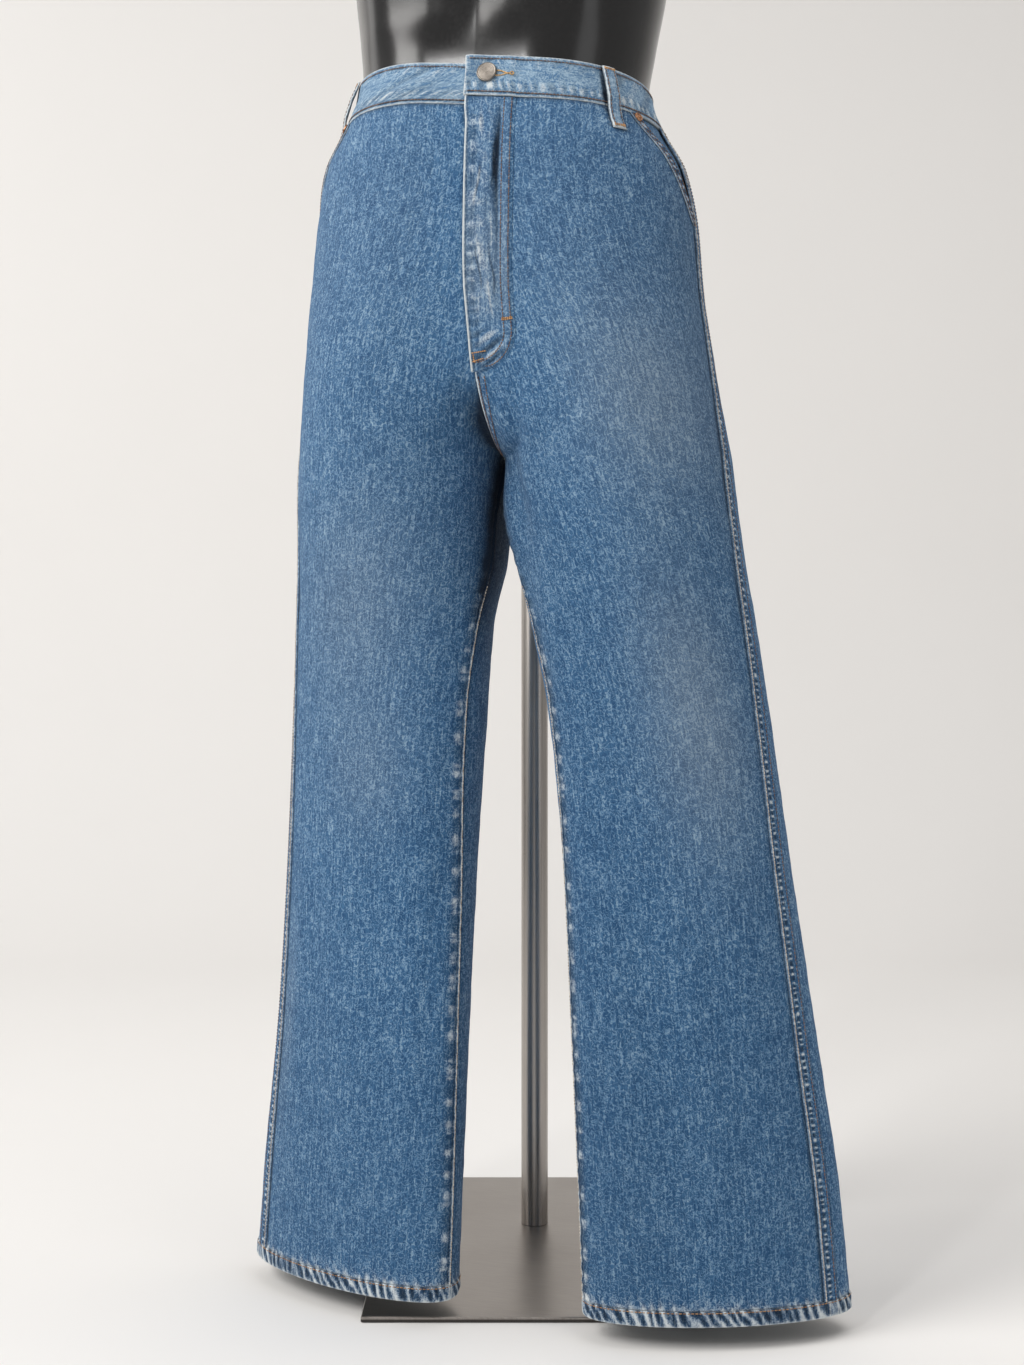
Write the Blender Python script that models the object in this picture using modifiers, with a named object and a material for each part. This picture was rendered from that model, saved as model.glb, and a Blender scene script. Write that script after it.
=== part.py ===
"""Relaxed-fit jeans on a limbless trouser form and its stand.

Metres, +Z up. The front faces -Y and the wearer's left is +X. The origin is on the floor, straight below
the middle of the waist. Each leg's cloth is worked out from its sections: a point on a section is given
by q, a number of quarter turns: 0 at the outer edge, 1 at the front, 2 at the inner edge or the centre
line, 3 at the back and 4 at the outer edge again.
"""
import math

import bmesh
import bpy
from mathutils import Matrix, Vector

# Heights of the garment's main lines
HEM_Z = 0.020
HEM_HEIGHT = 0.013
CROTCH_Z = 0.752
YOKE_SIDE_Z = 1.005
YOKE_CENTRE_Z = 0.955
WAIST_SEAM_Z = 1.036
BAND_TOP_Z = 1.072

# Cloth
WALL = 0.0014
BAND_WALL = 0.0024
HEM_WALL = 0.0026
PATCH_WALL = 0.0011
BAND_PROUD = 0.0006
HEM_PROUD = 0.0008
GAP = 0.0003
SEAM_HALF_GAP = GAP / 2
SEAM_STRIP = 0.0046
BAND_LAP = 0.0050
BAND_LAP_FROM_Q = 0.85
BAND_LAP_EASE_Q = 0.40
POCKET_HEM = 0.0090

# How the garment hangs on the form
HIP_TILT = 0.060
SWAY_TOP_Z = 0.880
LEG_SWAY = 0.0195
FRONT_STEP = 0.0035
FRONT_STEP_REACH = 0.080
FRONT_STEP_FROM_Z = 0.900
FRONT_RISE_HEIGHT = 0.0850
BACK_RISE_HEIGHT = 0.1275
FLY_SINK = 0.010
FLY_SINK_TOP_Z = 0.920
FLY_SINK_EASE = 0.120
SEAT_SINK = 0.014
SEAT_SINK_TOP_Z = 1.010
SEAT_SINK_EASE = 0.140

# z, side_x, side_y, front_x, front_y, back_x, back_y: one half of the waist and hips
HIPS = [
    (1.250, 0.1460, 0.000, 0.046, -0.1080, 0.046, 0.1060),
    (1.160, 0.1400, 0.000, 0.044, -0.1030, 0.044, 0.1010),
    (1.110, 0.1330, 0.000, 0.042, -0.0970, 0.042, 0.0960),
    (1.072, 0.1290, 0.000, 0.042, -0.0945, 0.042, 0.0950),
    (1.036, 0.1400, 0.000, 0.042, -0.1015, 0.042, 0.1030),
    (1.000, 0.1590, 0.000, 0.042, -0.1080, 0.050, 0.1130),
    (0.950, 0.1695, 0.000, 0.048, -0.1120, 0.065, 0.1240),
    (0.900, 0.1735, 0.000, 0.060, -0.1140, 0.078, 0.1290),
    (0.840, 0.1805, 0.000, 0.080, -0.1120, 0.090, 0.1260),
    (0.790, 0.1870, 0.000, 0.092, -0.1060, 0.096, 0.1180),
]
# z, centre_x, centre_y, half_width, front_depth, back_depth, turn_degrees: one leg
LEGS = [
    (0.740, 0.0975, 0.002, 0.0965, 0.098, 0.108, 0.0),
    (0.668, 0.1030, 0.004, 0.0975, 0.085, 0.096, 7.0),
    (0.600, 0.1131, 0.006, 0.0965, 0.074, 0.084, 12.0),
    (0.540, 0.1222, 0.007, 0.0950, 0.066, 0.074, 15.0),
    (0.400, 0.1362, 0.008, 0.0980, 0.055, 0.068, 19.0),
    (0.250, 0.1494, 0.009, 0.1060, 0.047, 0.063, 22.0),
    (0.120, 0.1610, 0.010, 0.1128, 0.043, 0.061, 22.0),
    (0.020, 0.1675, 0.010, 0.1155, 0.042, 0.060, 22.0),
]
# z, outseam_degrees, inseam_degrees: how far ahead of the leg's outer and inner edges the seams run
SEAMS = [
    (0.000, 35.0, 0.0),
    (0.200, 35.0, 1.0),
    (0.350, 33.0, 4.0),
    (0.500, 29.0, 12.0),
    (0.600, 24.0, 15.0),
    (0.760, 8.0, 0.0),
    (0.900, 0.0, 0.0),
    (1.080, 0.0, 0.0),
]
# side, z, q, lean_degrees, half_length, half_width, depth: the broad folds
FOLDS = [
    (+1, 0.705, 1.62, 14.0, 0.085, 0.022, 0.0035),
    (-1, 0.700, 1.62, 12.0, 0.075, 0.022, 0.0030),
    (+1, 0.560, 0.85, 62.0, 0.060, 0.024, 0.0020),
    (-1, 0.590, 0.95, -58.0, 0.065, 0.024, 0.0022),
    (+1, 0.330, 1.35, 8.0, 0.150, 0.028, 0.0022),
    (-1, 0.300, 1.30, -6.0, 0.150, 0.028, 0.0022),
    (+1, 0.745, 3.05, 66.0, 0.070, 0.020, 0.0030),
    (-1, 0.740, 3.10, -64.0, 0.070, 0.020, 0.0030),
    (+1, 0.520, 3.00, 70.0, 0.065, 0.024, 0.0028),
    (-1, 0.535, 2.95, -72.0, 0.065, 0.024, 0.0028),
]
FOLD_ARC = 0.150

# Slash pocket: its edge runs from the outseam up to the waist seam
SLASH_FOOT_Z = 0.943
SLASH_TOP_Q = 0.310
FACING_FOOT_WIDTH = 0.0015
POCKET_EDGE_START = 0.65

# Back patch pocket: rows between which it lies, and how far its pointed foot hangs below the lower one
PATCH_TOP_Z = 0.960
PATCH_FOOT_Z = CROTCH_Z + 0.0510
PATCH_COLUMNS = [3, 4, 5, 6, 7, 8]
PATCH_POINT_SHARES = [0.03, 0.40, 0.80, 0.80, 0.40, 0.03]

# Rows of the panels, by their height at the outseam
LEG_ROWS = 20
RISE_ROWS = [0.0025, 0.0090, 0.0190, 0.0330, 0.0510, 0.0720, 0.0950, 0.1275]
HIP_ROWS = [0.905, 0.925, 0.943, 0.960, 0.980]
YOKE_MID_Z = 1.0205

# Fly
FLY_LINES_X = [0.040, 0.020]
FLY_LINES_FROM_Z = 0.820
FLY_LAP = 0.004
FLY_STRAIGHT_FROM_Z = 0.842
# the fly's curved foot: how far each column goes down from its row towards the next
FLY_FOOT_SHARES = [0.04, 0.03, 0.45]
FLY_CURVE_SHARE = 0.02

# Belt loops: name, side, q at the top, q at the foot
LOOPS = [
    ("front_left", +1, 0.420, 0.480),
    ("front_right", -1, 0.300, 0.160),
    ("back_left", +1, 3.580, 3.580),
    ("back_right", -1, 3.580, 3.580),
    ("centre_back", +1, 2.002, 2.002),
]
LOOP_HALF_WIDTH = 0.0062
LOOP_WALL = 0.0018
# z, clearance over the panel's surface
LOOP_PROFILE = [
    (1.0160, 0.0004),
    (1.0240, 0.0006),
    (1.0330, 0.0019),
    (1.0440, 0.0042),
    (1.0560, 0.0044),
    (1.0650, 0.0028),
    (1.0715, 0.0010),
]

# Button and rivets
BUTTON_X = 0.0145
BUTTON_Z = 1.0550
BUTTON_RADIUS = 0.0085
BUTTON_HEIGHT = 0.0030
BUTTON_SHANK = 0.0008
RIVET_RADIUS = 0.0045
RIVET_HEIGHT = 0.0014
RIVET_ACROSS = 0.55
RIVET_DOWN = 0.42
RIVET_CLEARANCE = 0.0007 + PATCH_WALL

# Form: z, inset from the garment's surface, scale about the middle
FORM_ROWS = [
    (0.800, 0.0180, 0.40),
    (0.806, 0.0180, 0.66),
    (0.820, 0.0180, 0.84),
    (0.842, 0.0180, 0.95),
    (0.872, 0.0170, 1.00),
    (0.920, 0.0150, 1.00),
    (0.970, 0.0110, 1.00),
    (1.010, 0.0070, 1.00),
    (1.036, 0.0044, 1.00),
    (1.054, 0.0023, 1.00),
    (1.072, 0.0023, 1.00),
    (1.110, 0.0020, 1.00),
    (1.150, 0.0020, 1.00),
    (1.195, 0.0020, 1.00),
    (1.236, 0.0020, 1.00),
    (1.2394, 0.0020, 0.985),
    (1.2405, 0.0020, 0.960),
]
FORM_FRONT_EASE = 0.0012
FORM_LEAN = 0.060
FORM_LEVEL_Z = 1.220
FORM_BASE_SECTION_Z = 0.872
FORM_MIDDLE_Y = 0.005

# Stand
STAND_TURN = math.radians(16.5)
PLATE_WIDTH = 0.310
PLATE_DEPTH = 0.430
PLATE_THICK = 0.005
PLATE_CENTRE = (-0.027, 0.195)
PLATE_BEVEL = 0.0008
POLE_RADIUS = 0.0135
POLE_CENTRE = (-0.042, 0.244)
POLE_TOP_Z = 1.178
ARM_Z = 1.145
ARM_RADIUS = 0.0090
COLLAR_RADIUS = 0.0210
COLLAR_HALF_HEIGHT = 0.0180
FLANGE_RADIUS = 0.0260
FLANGE_THICK = 0.0050
ROUND_SIDES = 32

DENIM = ("denim", (0.125, 0.235, 0.385, 1.0), 0.90, 0.0)
DENIM_FADED = ("denim_faded", (0.190, 0.310, 0.460, 1.0), 0.90, 0.0)
DARK_METAL = ("aged_button_metal", (0.210, 0.190, 0.170, 1.0), 0.42, 1.0)
COPPER = ("aged_copper", (0.420, 0.220, 0.130, 1.0), 0.40, 1.0)
FORM_GLOSS = ("black_gloss", (0.012, 0.012, 0.013, 1.0), 0.22, 0.0)
STEEL = ("brushed_steel", (0.480, 0.450, 0.420, 1.0), 0.32, 1.0)


def smooth(t):
    """Eased step from 0 to 1."""
    t = min(max(t, 0.0), 1.0)
    return t * t * (3 - 2 * t)


def blend(a, b, t):
    """Straight mix of two numbers or vectors."""
    return a + (b - a) * t


def curve_through(rows, column, x):
    """Monotone cubic through one column of a table whose first column rises."""
    xs = [row[0] for row in rows]
    ys = [row[column] for row in rows]
    last = len(xs) - 1
    if x <= xs[0]:
        return ys[0]
    if x >= xs[last]:
        return ys[last]
    widths = [xs[i + 1] - xs[i] for i in range(last)]
    slopes = [(ys[i + 1] - ys[i]) / widths[i] for i in range(last)]
    tangents = [slopes[0]]
    for i in range(1, last):
        before, after = slopes[i - 1], slopes[i]
        tangent = 0.0
        if before * after > 0:
            w1 = 2 * widths[i] + widths[i - 1]
            w2 = widths[i] + 2 * widths[i - 1]
            tangent = (w1 + w2) / (w1 / before + w2 / after)
        tangents.append(tangent)
    tangents.append(slopes[-1])
    i = max(k for k in range(last) if xs[k] <= x)
    t = (x - xs[i]) / widths[i]
    return ((2 * t**3 - 3 * t**2 + 1) * ys[i] + (t**3 - 2 * t**2 + t) * widths[i] * tangents[i]
            + (3 * t**2 - 2 * t**3) * ys[i + 1] + (t**3 - t**2) * widths[i] * tangents[i + 1])


def section_rows():
    """Every section by its outer, front, inner and back points and its turn, lowest first."""
    rows = [(z, sx, sy, fx, fy, 0.0, 0.0, bx, by, 0.0) for z, sx, sy, fx, fy, bx, by in HIPS]
    for z, cx, cy, half, front, back, turn in LEGS:
        c = math.cos(math.radians(turn))
        s = math.sin(math.radians(turn))
        rows.append((z, cx + half * c, cy + half * s, cx + front * s, cy - front * c,
                     cx - half * c, cy - half * s, cx - back * s, cy + back * c, turn))
    return sorted(rows)


SECTIONS = section_rows()
CROTCH_Y = LEGS[0][2]


def outer_quarter(edge, crown, turn, v):
    """Elliptic quarter from the outer edge to the front or back crown."""
    c, s = math.cos(turn), math.sin(turn)
    dx, dy = crown[0] - edge[0], crown[1] - edge[1]
    along, across = dx * c + dy * s, dy * c - dx * s
    along *= 1 - math.cos(v * math.pi / 2)
    across *= math.sin(v * math.pi / 2)
    return edge[0] + along * c - across * s, edge[1] + along * s + across * c


def inner_quarter(crown, edge, turn, v, opened):
    """Elliptic quarter from the crown towards the inner edge.

    Above the crotch it widens and is cut off at the centre plane: opened is 0 at the crotch and 1 where
    the cloth runs straight across.
    """
    c, s = math.cos(turn), math.sin(turn)
    dx, dy = edge[0] - crown[0], edge[1] - crown[1]
    along, across = dx * c + dy * s, dy * c - dx * s
    reach = math.asin(1 - opened)
    along *= math.sin(v * reach) / (1 - opened) if opened < 1 else v
    across *= 1 - math.cos(v * reach)
    return crown[0] + along * c - across * s, crown[1] + along * s + across * c


def section_point(z, q):
    """Point of one half's section at height z."""
    ox, oy, fx, fy, ix, iy, bx, by, turn = [curve_through(SECTIONS, k, z) for k in range(1, 10)]
    turn = math.radians(turn)
    front_open = back_open = fly_sink = seat_sink = 0.0
    if z > CROTCH_Z:
        ix, iy = 0.0, CROTCH_Y
        front_open = min((z - CROTCH_Z) / FRONT_RISE_HEIGHT, 1.0)
        back_open = min((z - CROTCH_Z) / BACK_RISE_HEIGHT, 1.0)
        fly_sink = FLY_SINK * front_open * smooth((FLY_SINK_TOP_Z - z) / FLY_SINK_EASE)
        seat_sink = SEAT_SINK * back_open * smooth((SEAT_SINK_TOP_Z - z) / SEAT_SINK_EASE)
    if q <= 1:
        return outer_quarter((ox, oy), (fx, fy), turn, q)
    if q <= 2:
        x, y = inner_quarter((fx, fy), (ix, iy), turn, q - 1, front_open)
        return x, y + fly_sink * smooth(q - 1)
    if q <= 3:
        x, y = inner_quarter((bx, by), (ix, iy), turn, 3 - q, back_open)
        return x, y - seat_sink * smooth(3 - q)
    return outer_quarter((ox, oy), (bx, by), turn, 4 - q)


def hang(side, x, y, z, step=True):
    """Places a section's point: the legs sway, the hips tilt and the two fronts meet at a small step."""
    x = side * max(x, SEAM_HALF_GAP)
    t = min(max((SWAY_TOP_Z - z) / (SWAY_TOP_Z - HEM_Z), 0.0), 1.0)
    tilt = min(max((z - CROTCH_Z) / (BAND_TOP_Z - CROTCH_Z), 0.0), 1.0)
    tilt *= 1 - smooth((z - BAND_TOP_Z) / (FORM_LEVEL_Z - BAND_TOP_Z))
    rise = 0.0
    if step and y < 0:
        near = max(1 - abs(x) / FRONT_STEP_REACH, 0.0) ** 2
        rise = side * FRONT_STEP * near * smooth((z - FRONT_STEP_FROM_Z) / (WAIST_SEAM_Z - FRONT_STEP_FROM_Z))
    return Vector((x + LEG_SWAY * (1 - (1 - t) ** 2), y, z - HIP_TILT * x * tilt + rise))


def surface(side, z, q):
    """The garment's outer surface before its folds."""
    if q < 0:
        q += 4
    x, y = section_point(z, q)
    return hang(side, x, y, z)


def normal(side, z, q):
    """Direction out of the cloth."""
    dz, dq = 0.0008, 0.004
    if 2 <= q < 2 + dq:
        q = 2 + dq
    if 2 - dq < q < 2:
        q = 2 - dq
    up = surface(side, z + dz, q) - surface(side, z - dz, q)
    round_leg = surface(side, z, q + dq * 0.9) - surface(side, z, q - dq * 0.9)
    return (up.cross(round_leg) * side).normalized()


def fold_depth(side, z, q):
    """How far the broad folds draw the cloth in."""
    depth = 0.0
    for fold_side, fold_z, fold_q, lean, half_length, half_width, deep in FOLDS:
        if fold_side != side:
            continue
        up, across = z - fold_z, (q - fold_q) * FOLD_ARC
        c, s = math.cos(math.radians(lean)), math.sin(math.radians(lean))
        along, off = up * c + across * s, across * c - up * s
        depth += deep * math.exp(-(along / half_length) ** 2 - (off / half_width) ** 2)
    return depth


def anchor(side, z, q):
    """A point of the cloth's outer side and the direction out of the cloth there."""
    out = normal(side, z, q)
    return surface(side, z, q) - out * fold_depth(side, z, q % 4), out


def between(a, b, t):
    """An anchor part of the way from one anchor to another."""
    return blend(a[0], b[0], t), blend(a[1], b[1], t).normalized()


def arc_step(side, z, q, width):
    """How much q changes over a width along the cloth."""
    dq = 0.01
    return width * dq / (surface(side, z, q + dq) - surface(side, z, q)).length


def outseam_q(z):
    return curve_through(SEAMS, 1, z) / 90


def inner_q(z, front):
    """The inseam below the crotch, and the centre line above it."""
    if z >= CROTCH_Z:
        return 2 - 1e-6 if front else 2 + 1e-6
    return 2 - curve_through(SEAMS, 2, z) / 90


def q_at_x(z, x):
    """q on the front between crown and centre line where the section is x from the centre plane."""
    low, high = 1.0, 2.0 - 1e-6
    for _ in range(40):
        middle = (low + high) / 2
        if section_point(z, middle)[0] > x:
            low = middle
        else:
            high = middle
    return low


PANEL_FOOT_Z = HEM_Z + HEM_HEIGHT + GAP
LEG_ROW_ZS = [blend(PANEL_FOOT_Z, CROTCH_Z, i / LEG_ROWS) for i in range(LEG_ROWS + 1)]
LOW_ROWS = LEG_ROW_ZS + [CROTCH_Z + rise for rise in RISE_ROWS]
FRONT_ROWS = LOW_ROWS + HIP_ROWS + [YOKE_SIDE_Z, YOKE_MID_Z, WAIST_SEAM_Z]
BACK_ROWS = LOW_ROWS + HIP_ROWS + [YOKE_SIDE_Z - SEAM_HALF_GAP]
YOKE_ROWS = [YOKE_SIDE_Z + SEAM_HALF_GAP, YOKE_MID_Z, WAIST_SEAM_Z]
BACK_SHARES = [0.10, 0.20, 0.31, 0.42, 0.53, 0.64, 0.76, 0.88]


def centre_height(side_z):
    """Height at the centre back of the row that is side_z high at the outseam: rows follow the yoke."""
    top_low_row = LOW_ROWS[-1]
    if side_z <= top_low_row:
        return side_z
    if side_z <= YOKE_SIDE_Z:
        t = (side_z - top_low_row) / (YOKE_SIDE_Z - top_low_row)
        return blend(top_low_row, YOKE_CENTRE_Z, t)
    t = (side_z - YOKE_SIDE_Z) / (WAIST_SEAM_Z - YOKE_SIDE_Z)
    return blend(YOKE_CENTRE_Z, WAIST_SEAM_Z, t)


def front_qs(side, z):
    """q of one row's points on a front panel, from its outer edge to its inner edge."""
    seam = outseam_q(z)
    edge = seam + arc_step(side, z, seam, SEAM_HALF_GAP)
    strip = seam + arc_step(side, z, seam, SEAM_STRIP)
    if z > SLASH_FOOT_Z:
        edge = SLASH_TOP_Q * (z - SLASH_FOOT_Z) / (WAIST_SEAM_Z - SLASH_FOOT_Z)
        opening = smooth((z - SLASH_FOOT_Z) / 0.02)
        strip = edge + arc_step(side, z, edge, blend(SEAM_STRIP, POCKET_HEM, opening))
    inner = inner_q(z, True)
    if z < CROTCH_Z:
        inner -= arc_step(side, z, inner, SEAM_HALF_GAP)
    even = [blend(strip, inner, k / 8) for k in range(1, 8)]
    hold = smooth((z - CROTCH_Z) / (FLY_LINES_FROM_Z - CROTCH_Z))
    for k, x in enumerate(FLY_LINES_X):
        even[5 + k] = blend(even[5 + k], q_at_x(z, x), hold)
    for k in range(5):
        even[k] = blend(even[k], blend(strip, even[5], (k + 1) / 6), hold)
    return [edge, strip] + even + [inner]


def back_qs(side, side_z):
    """q of one row's points on a back panel or yoke, from its outer edge to its inner edge."""
    seam = outseam_q(side_z)
    edge = 4 + seam - arc_step(side, side_z, seam, SEAM_HALF_GAP)
    strip = 4 + seam - arc_step(side, side_z, seam, SEAM_STRIP)
    inner = inner_q(side_z, False)
    if side_z < CROTCH_Z:
        inner += arc_step(side, side_z, inner, SEAM_HALF_GAP)
    return [edge, strip] + [blend(strip, inner, share) for share in BACK_SHARES] + [inner]


def corner_qs(side, z):
    """q of the pocket facing's points between the outseam and the slash pocket's edge."""
    seam = outseam_q(z)
    first = seam + arc_step(side, z, seam, SEAM_HALF_GAP)
    slash = SLASH_TOP_Q * max(z - SLASH_FOOT_Z, 0.0) / (WAIST_SEAM_Z - SLASH_FOOT_Z)
    second = max(slash, first + arc_step(side, z, seam, FACING_FOOT_WIDTH))
    return [blend(first, second, k / 3) for k in range(4)]


def front_row(side, z):
    """Anchors of one row of a front panel."""
    return [anchor(side, z, q) for q in front_qs(side, z)]


def back_row(side, side_z):
    """Anchors of one row of a back panel or yoke, which follows the yoke's slant high up."""
    qs = back_qs(side, side_z)
    row = []
    for q in qs:
        z = blend(side_z, centre_height(side_z), smooth((qs[0] - q) / (qs[0] - qs[-1])))
        row.append(anchor(side, z, q if q < 4 else q - 4))
    return row


def waist_qs(side):
    """q of the points round one half of the waist: the front's, then the back's, both from the side."""
    front = corner_qs(side, WAIST_SEAM_Z)[:3] + front_qs(side, WAIST_SEAM_Z)
    return front, back_qs(side, WAIST_SEAM_Z)[1:]


def clear_collection(name):
    """A collection of this name, made if it isn't there, linked to the scene."""
    collection = bpy.data.collections.get(name) or bpy.data.collections.new(name)
    if collection.name not in bpy.context.scene.collection.children:
        bpy.context.scene.collection.children.link(collection)
    return collection


def finish_look(obj, look, smooth_angle=35):
    """The object's own material, and smooth shading between its creases."""
    name, colour, roughness, metallic = look
    material = bpy.data.materials.new(name + "_" + obj.name)
    material.use_nodes = True
    shader = material.node_tree.nodes["Principled BSDF"]
    shader.inputs["Base Color"].default_value = colour
    shader.inputs["Roughness"].default_value = roughness
    shader.inputs["Metallic"].default_value = metallic
    material.diffuse_color = colour
    obj.data.materials.append(material)
    obj.data.shade_smooth()
    obj.data.set_sharp_from_angle(angle=math.radians(smooth_angle))


def object_from(bm, name, look, collection_name="jeans"):
    """A new object from a bmesh, with its faces pointing out."""
    bmesh.ops.recalc_face_normals(bm, faces=bm.faces)
    mesh = bpy.data.meshes.new(name)
    bm.to_mesh(mesh)
    bm.free()
    obj = bpy.data.objects.new(name, mesh)
    clear_collection(collection_name).objects.link(obj)
    finish_look(obj, look)
    return obj


def wall(name, grid, low, high, look=DENIM, ring=False):
    """A closed wall on a grid of anchors, between two distances out of the cloth's surface."""
    bm = bmesh.new()
    skins = []
    for distance in (low, high):
        skins.append([[bm.verts.new(point + out * distance) for point, out in row] for row in grid])
    inside, outside = skins
    rows, columns = len(grid), len(grid[0])
    spans = columns if ring else columns - 1
    for skin in skins:
        for i in range(rows - 1):
            for j in range(spans):
                k = (j + 1) % columns
                bm.faces.new((skin[i][j], skin[i][k], skin[i + 1][j]))
                bm.faces.new((skin[i][k], skin[i + 1][k], skin[i + 1][j]))
    for i in (0, rows - 1):
        for j in range(spans):
            k = (j + 1) % columns
            bm.faces.new((inside[i][j], inside[i][k], outside[i][k], outside[i][j]))
    if not ring:
        for j in (0, columns - 1):
            for i in range(rows - 1):
                bm.faces.new((inside[i][j], inside[i + 1][j], outside[i + 1][j], outside[i][j]))
    return object_from(bm, name, look)


def side_name(side):
    return "left" if side > 0 else "right"


def build_panels(side, fronts, backs, yokes):
    """Front, back and yoke of one side."""
    wall("front_" + side_name(side), fronts, -WALL, 0.0)
    wall("back_" + side_name(side), backs, -WALL, 0.0)
    wall("yoke_" + side_name(side), yokes, -WALL, 0.0)


def build_hem(side):
    """The turned-up hem: a ring round the leg, a little proud of the panels."""
    rings = []
    for z in (HEM_Z, HEM_Z + HEM_HEIGHT):
        front = [anchor(side, z, blend(outseam_q(z), inner_q(z, True), k / 10)) for k in range(10)]
        back = [anchor(side, z, blend(inner_q(z, False), 4 + outseam_q(z), k / 9) % 4) for k in range(9)]
        rings.append(front + back)
    wall("hem_" + side_name(side), rings, HEM_PROUD - HEM_WALL, HEM_PROUD, ring=True)


def build_outseam(side, fronts, backs, yokes):
    """The felled seam that lies over the joint of front and back, from the hem to the waistband."""
    grid = []
    back_side = backs + yokes[1:]
    for i, z in enumerate(FRONT_ROWS):
        seam = outseam_q(z)
        ahead = fronts[i][1]
        if z > SLASH_FOOT_Z:
            ahead = anchor(side, z, seam + arc_step(side, z, seam, SEAM_STRIP))
        grid.append([back_side[i][1], anchor(side, z, seam), ahead])
    wall("outseam_" + side_name(side), grid, GAP, GAP + PATCH_WALL, DENIM_FADED)


def build_slash_pocket(side, fronts):
    """The facing seen inside the slash pocket, and the folded edge on the front panel."""
    foot = FRONT_ROWS.index(0.925)
    grid = []
    for i in range(foot, len(FRONT_ROWS)):
        z = FRONT_ROWS[i]
        qs = corner_qs(side, z)
        grid.append([anchor(side, z, q) for q in qs] + [fronts[i][1]])
    wall("pocket_facing_" + side_name(side), grid, -2 * WALL - GAP, -WALL - GAP)
    start = FRONT_ROWS.index(SLASH_FOOT_Z)
    first_row = [between(fronts[start][k], fronts[start + 1][k], POCKET_EDGE_START) for k in (0, 1)]
    edge_rows = [[row[0], row[1]] for row in fronts[start + 1:]]
    wall("pocket_edge_" + side_name(side), [first_row] + edge_rows, GAP, GAP + PATCH_WALL, DENIM_FADED)


def build_back_pocket(side, backs):
    """A plain patch pocket on the seat, with a pointed foot."""
    top = BACK_ROWS.index(PATCH_TOP_Z)
    foot = BACK_ROWS.index(PATCH_FOOT_Z)
    point_row = [between(backs[foot][c], backs[foot - 1][c], t)
                 for c, t in zip(PATCH_COLUMNS, PATCH_POINT_SHARES)]
    grid = [point_row] + [[backs[i][c] for c in PATCH_COLUMNS] for i in range(foot, top + 1)]
    wall("back_pocket_" + side_name(side), grid, GAP, GAP + PATCH_WALL, DENIM_FADED)


def build_fly(fronts):
    """The fly's covering layer on the left front. It laps over the right front and ends in a curve."""
    rows = [row[7:10] for z, row in zip(FRONT_ROWS, fronts) if z > FLY_STRAIGHT_FROM_Z]
    curve_row = FRONT_ROWS.index(CROTCH_Z + 0.0720)
    below, low, high = fronts[curve_row - 1:curve_row + 2]
    foot_outer, foot_middle, foot_edge = FLY_FOOT_SHARES
    foot = [between(high[7], low[7], foot_outer), between(low[8], below[8], foot_middle),
            between(low[9], below[9], foot_edge)]
    curve = [between(high[7], low[7], FLY_CURVE_SHARE), low[8], low[9]]
    grid = []
    for row in [foot, curve] + rows:
        point, out = row[2]
        lap = (point + Vector((-FLY_LAP, 0, 0)) + out * 2 * GAP, out)
        grid.append(row + [lap])
    wall("fly_placket", grid, 2 * GAP, 2 * GAP + PATCH_WALL, DENIM_FADED)


def band_path():
    """Stations round the waist as (side, q, shift along x, lift): the left end laps over the right end."""
    lap = BAND_WALL + GAP
    front, back = waist_qs(+1)
    stations = [(+1, front[-1], -BAND_LAP, lap)]
    stations += [(+1, q, 0.0, lap * smooth((q - BAND_LAP_FROM_Q) / BAND_LAP_EASE_Q)) for q in reversed(front)]
    stations += [(+1, q, 0.0, 0.0) for q in back]
    front, back = waist_qs(-1)
    stations += [(-1, q, 0.0, 0.0) for q in reversed(back[:-1])]
    stations += [(-1, q, 0.0, 0.0) for q in front]
    return stations


def build_waistband():
    """One strip of cloth all round, its ends lapped at the front."""
    grid = []
    for z in (WAIST_SEAM_Z + GAP, (WAIST_SEAM_Z + BAND_TOP_Z) / 2, BAND_TOP_Z):
        row = []
        for side, q, shift, lift in band_path():
            point, out = anchor(side, z, q)
            row.append((point + out * lift + Vector((shift, 0, 0)), out))
        grid.append(row)
    wall("waistband", grid, BAND_PROUD - BAND_WALL, BAND_PROUD, DENIM_FADED)


def build_loop(name, side, top_q, foot_q):
    """A belt loop: a strip that stands off the waistband between its two sewn ends."""
    top_z, foot_z = LOOP_PROFILE[-1][0], LOOP_PROFILE[0][0]
    inside, outside = [], []
    for z, clearance in LOOP_PROFILE:
        q = blend(foot_q, top_q, (z - foot_z) / (top_z - foot_z))
        half = arc_step(side, z, min(q, 3.9), LOOP_HALF_WIDTH)
        if name == "centre_back":
            point, out = anchor(side, z, q)
            pair = [(point + Vector((offset, 0, 0)), out) for offset in (-LOOP_HALF_WIDTH, LOOP_HALF_WIDTH)]
        else:
            pair = [anchor(side, z, q - half), anchor(side, z, q + half)]
        inside.append([(p + out * clearance, out) for p, out in pair])
    wall("belt_loop_" + name, inside, 0.0, LOOP_WALL)


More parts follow.
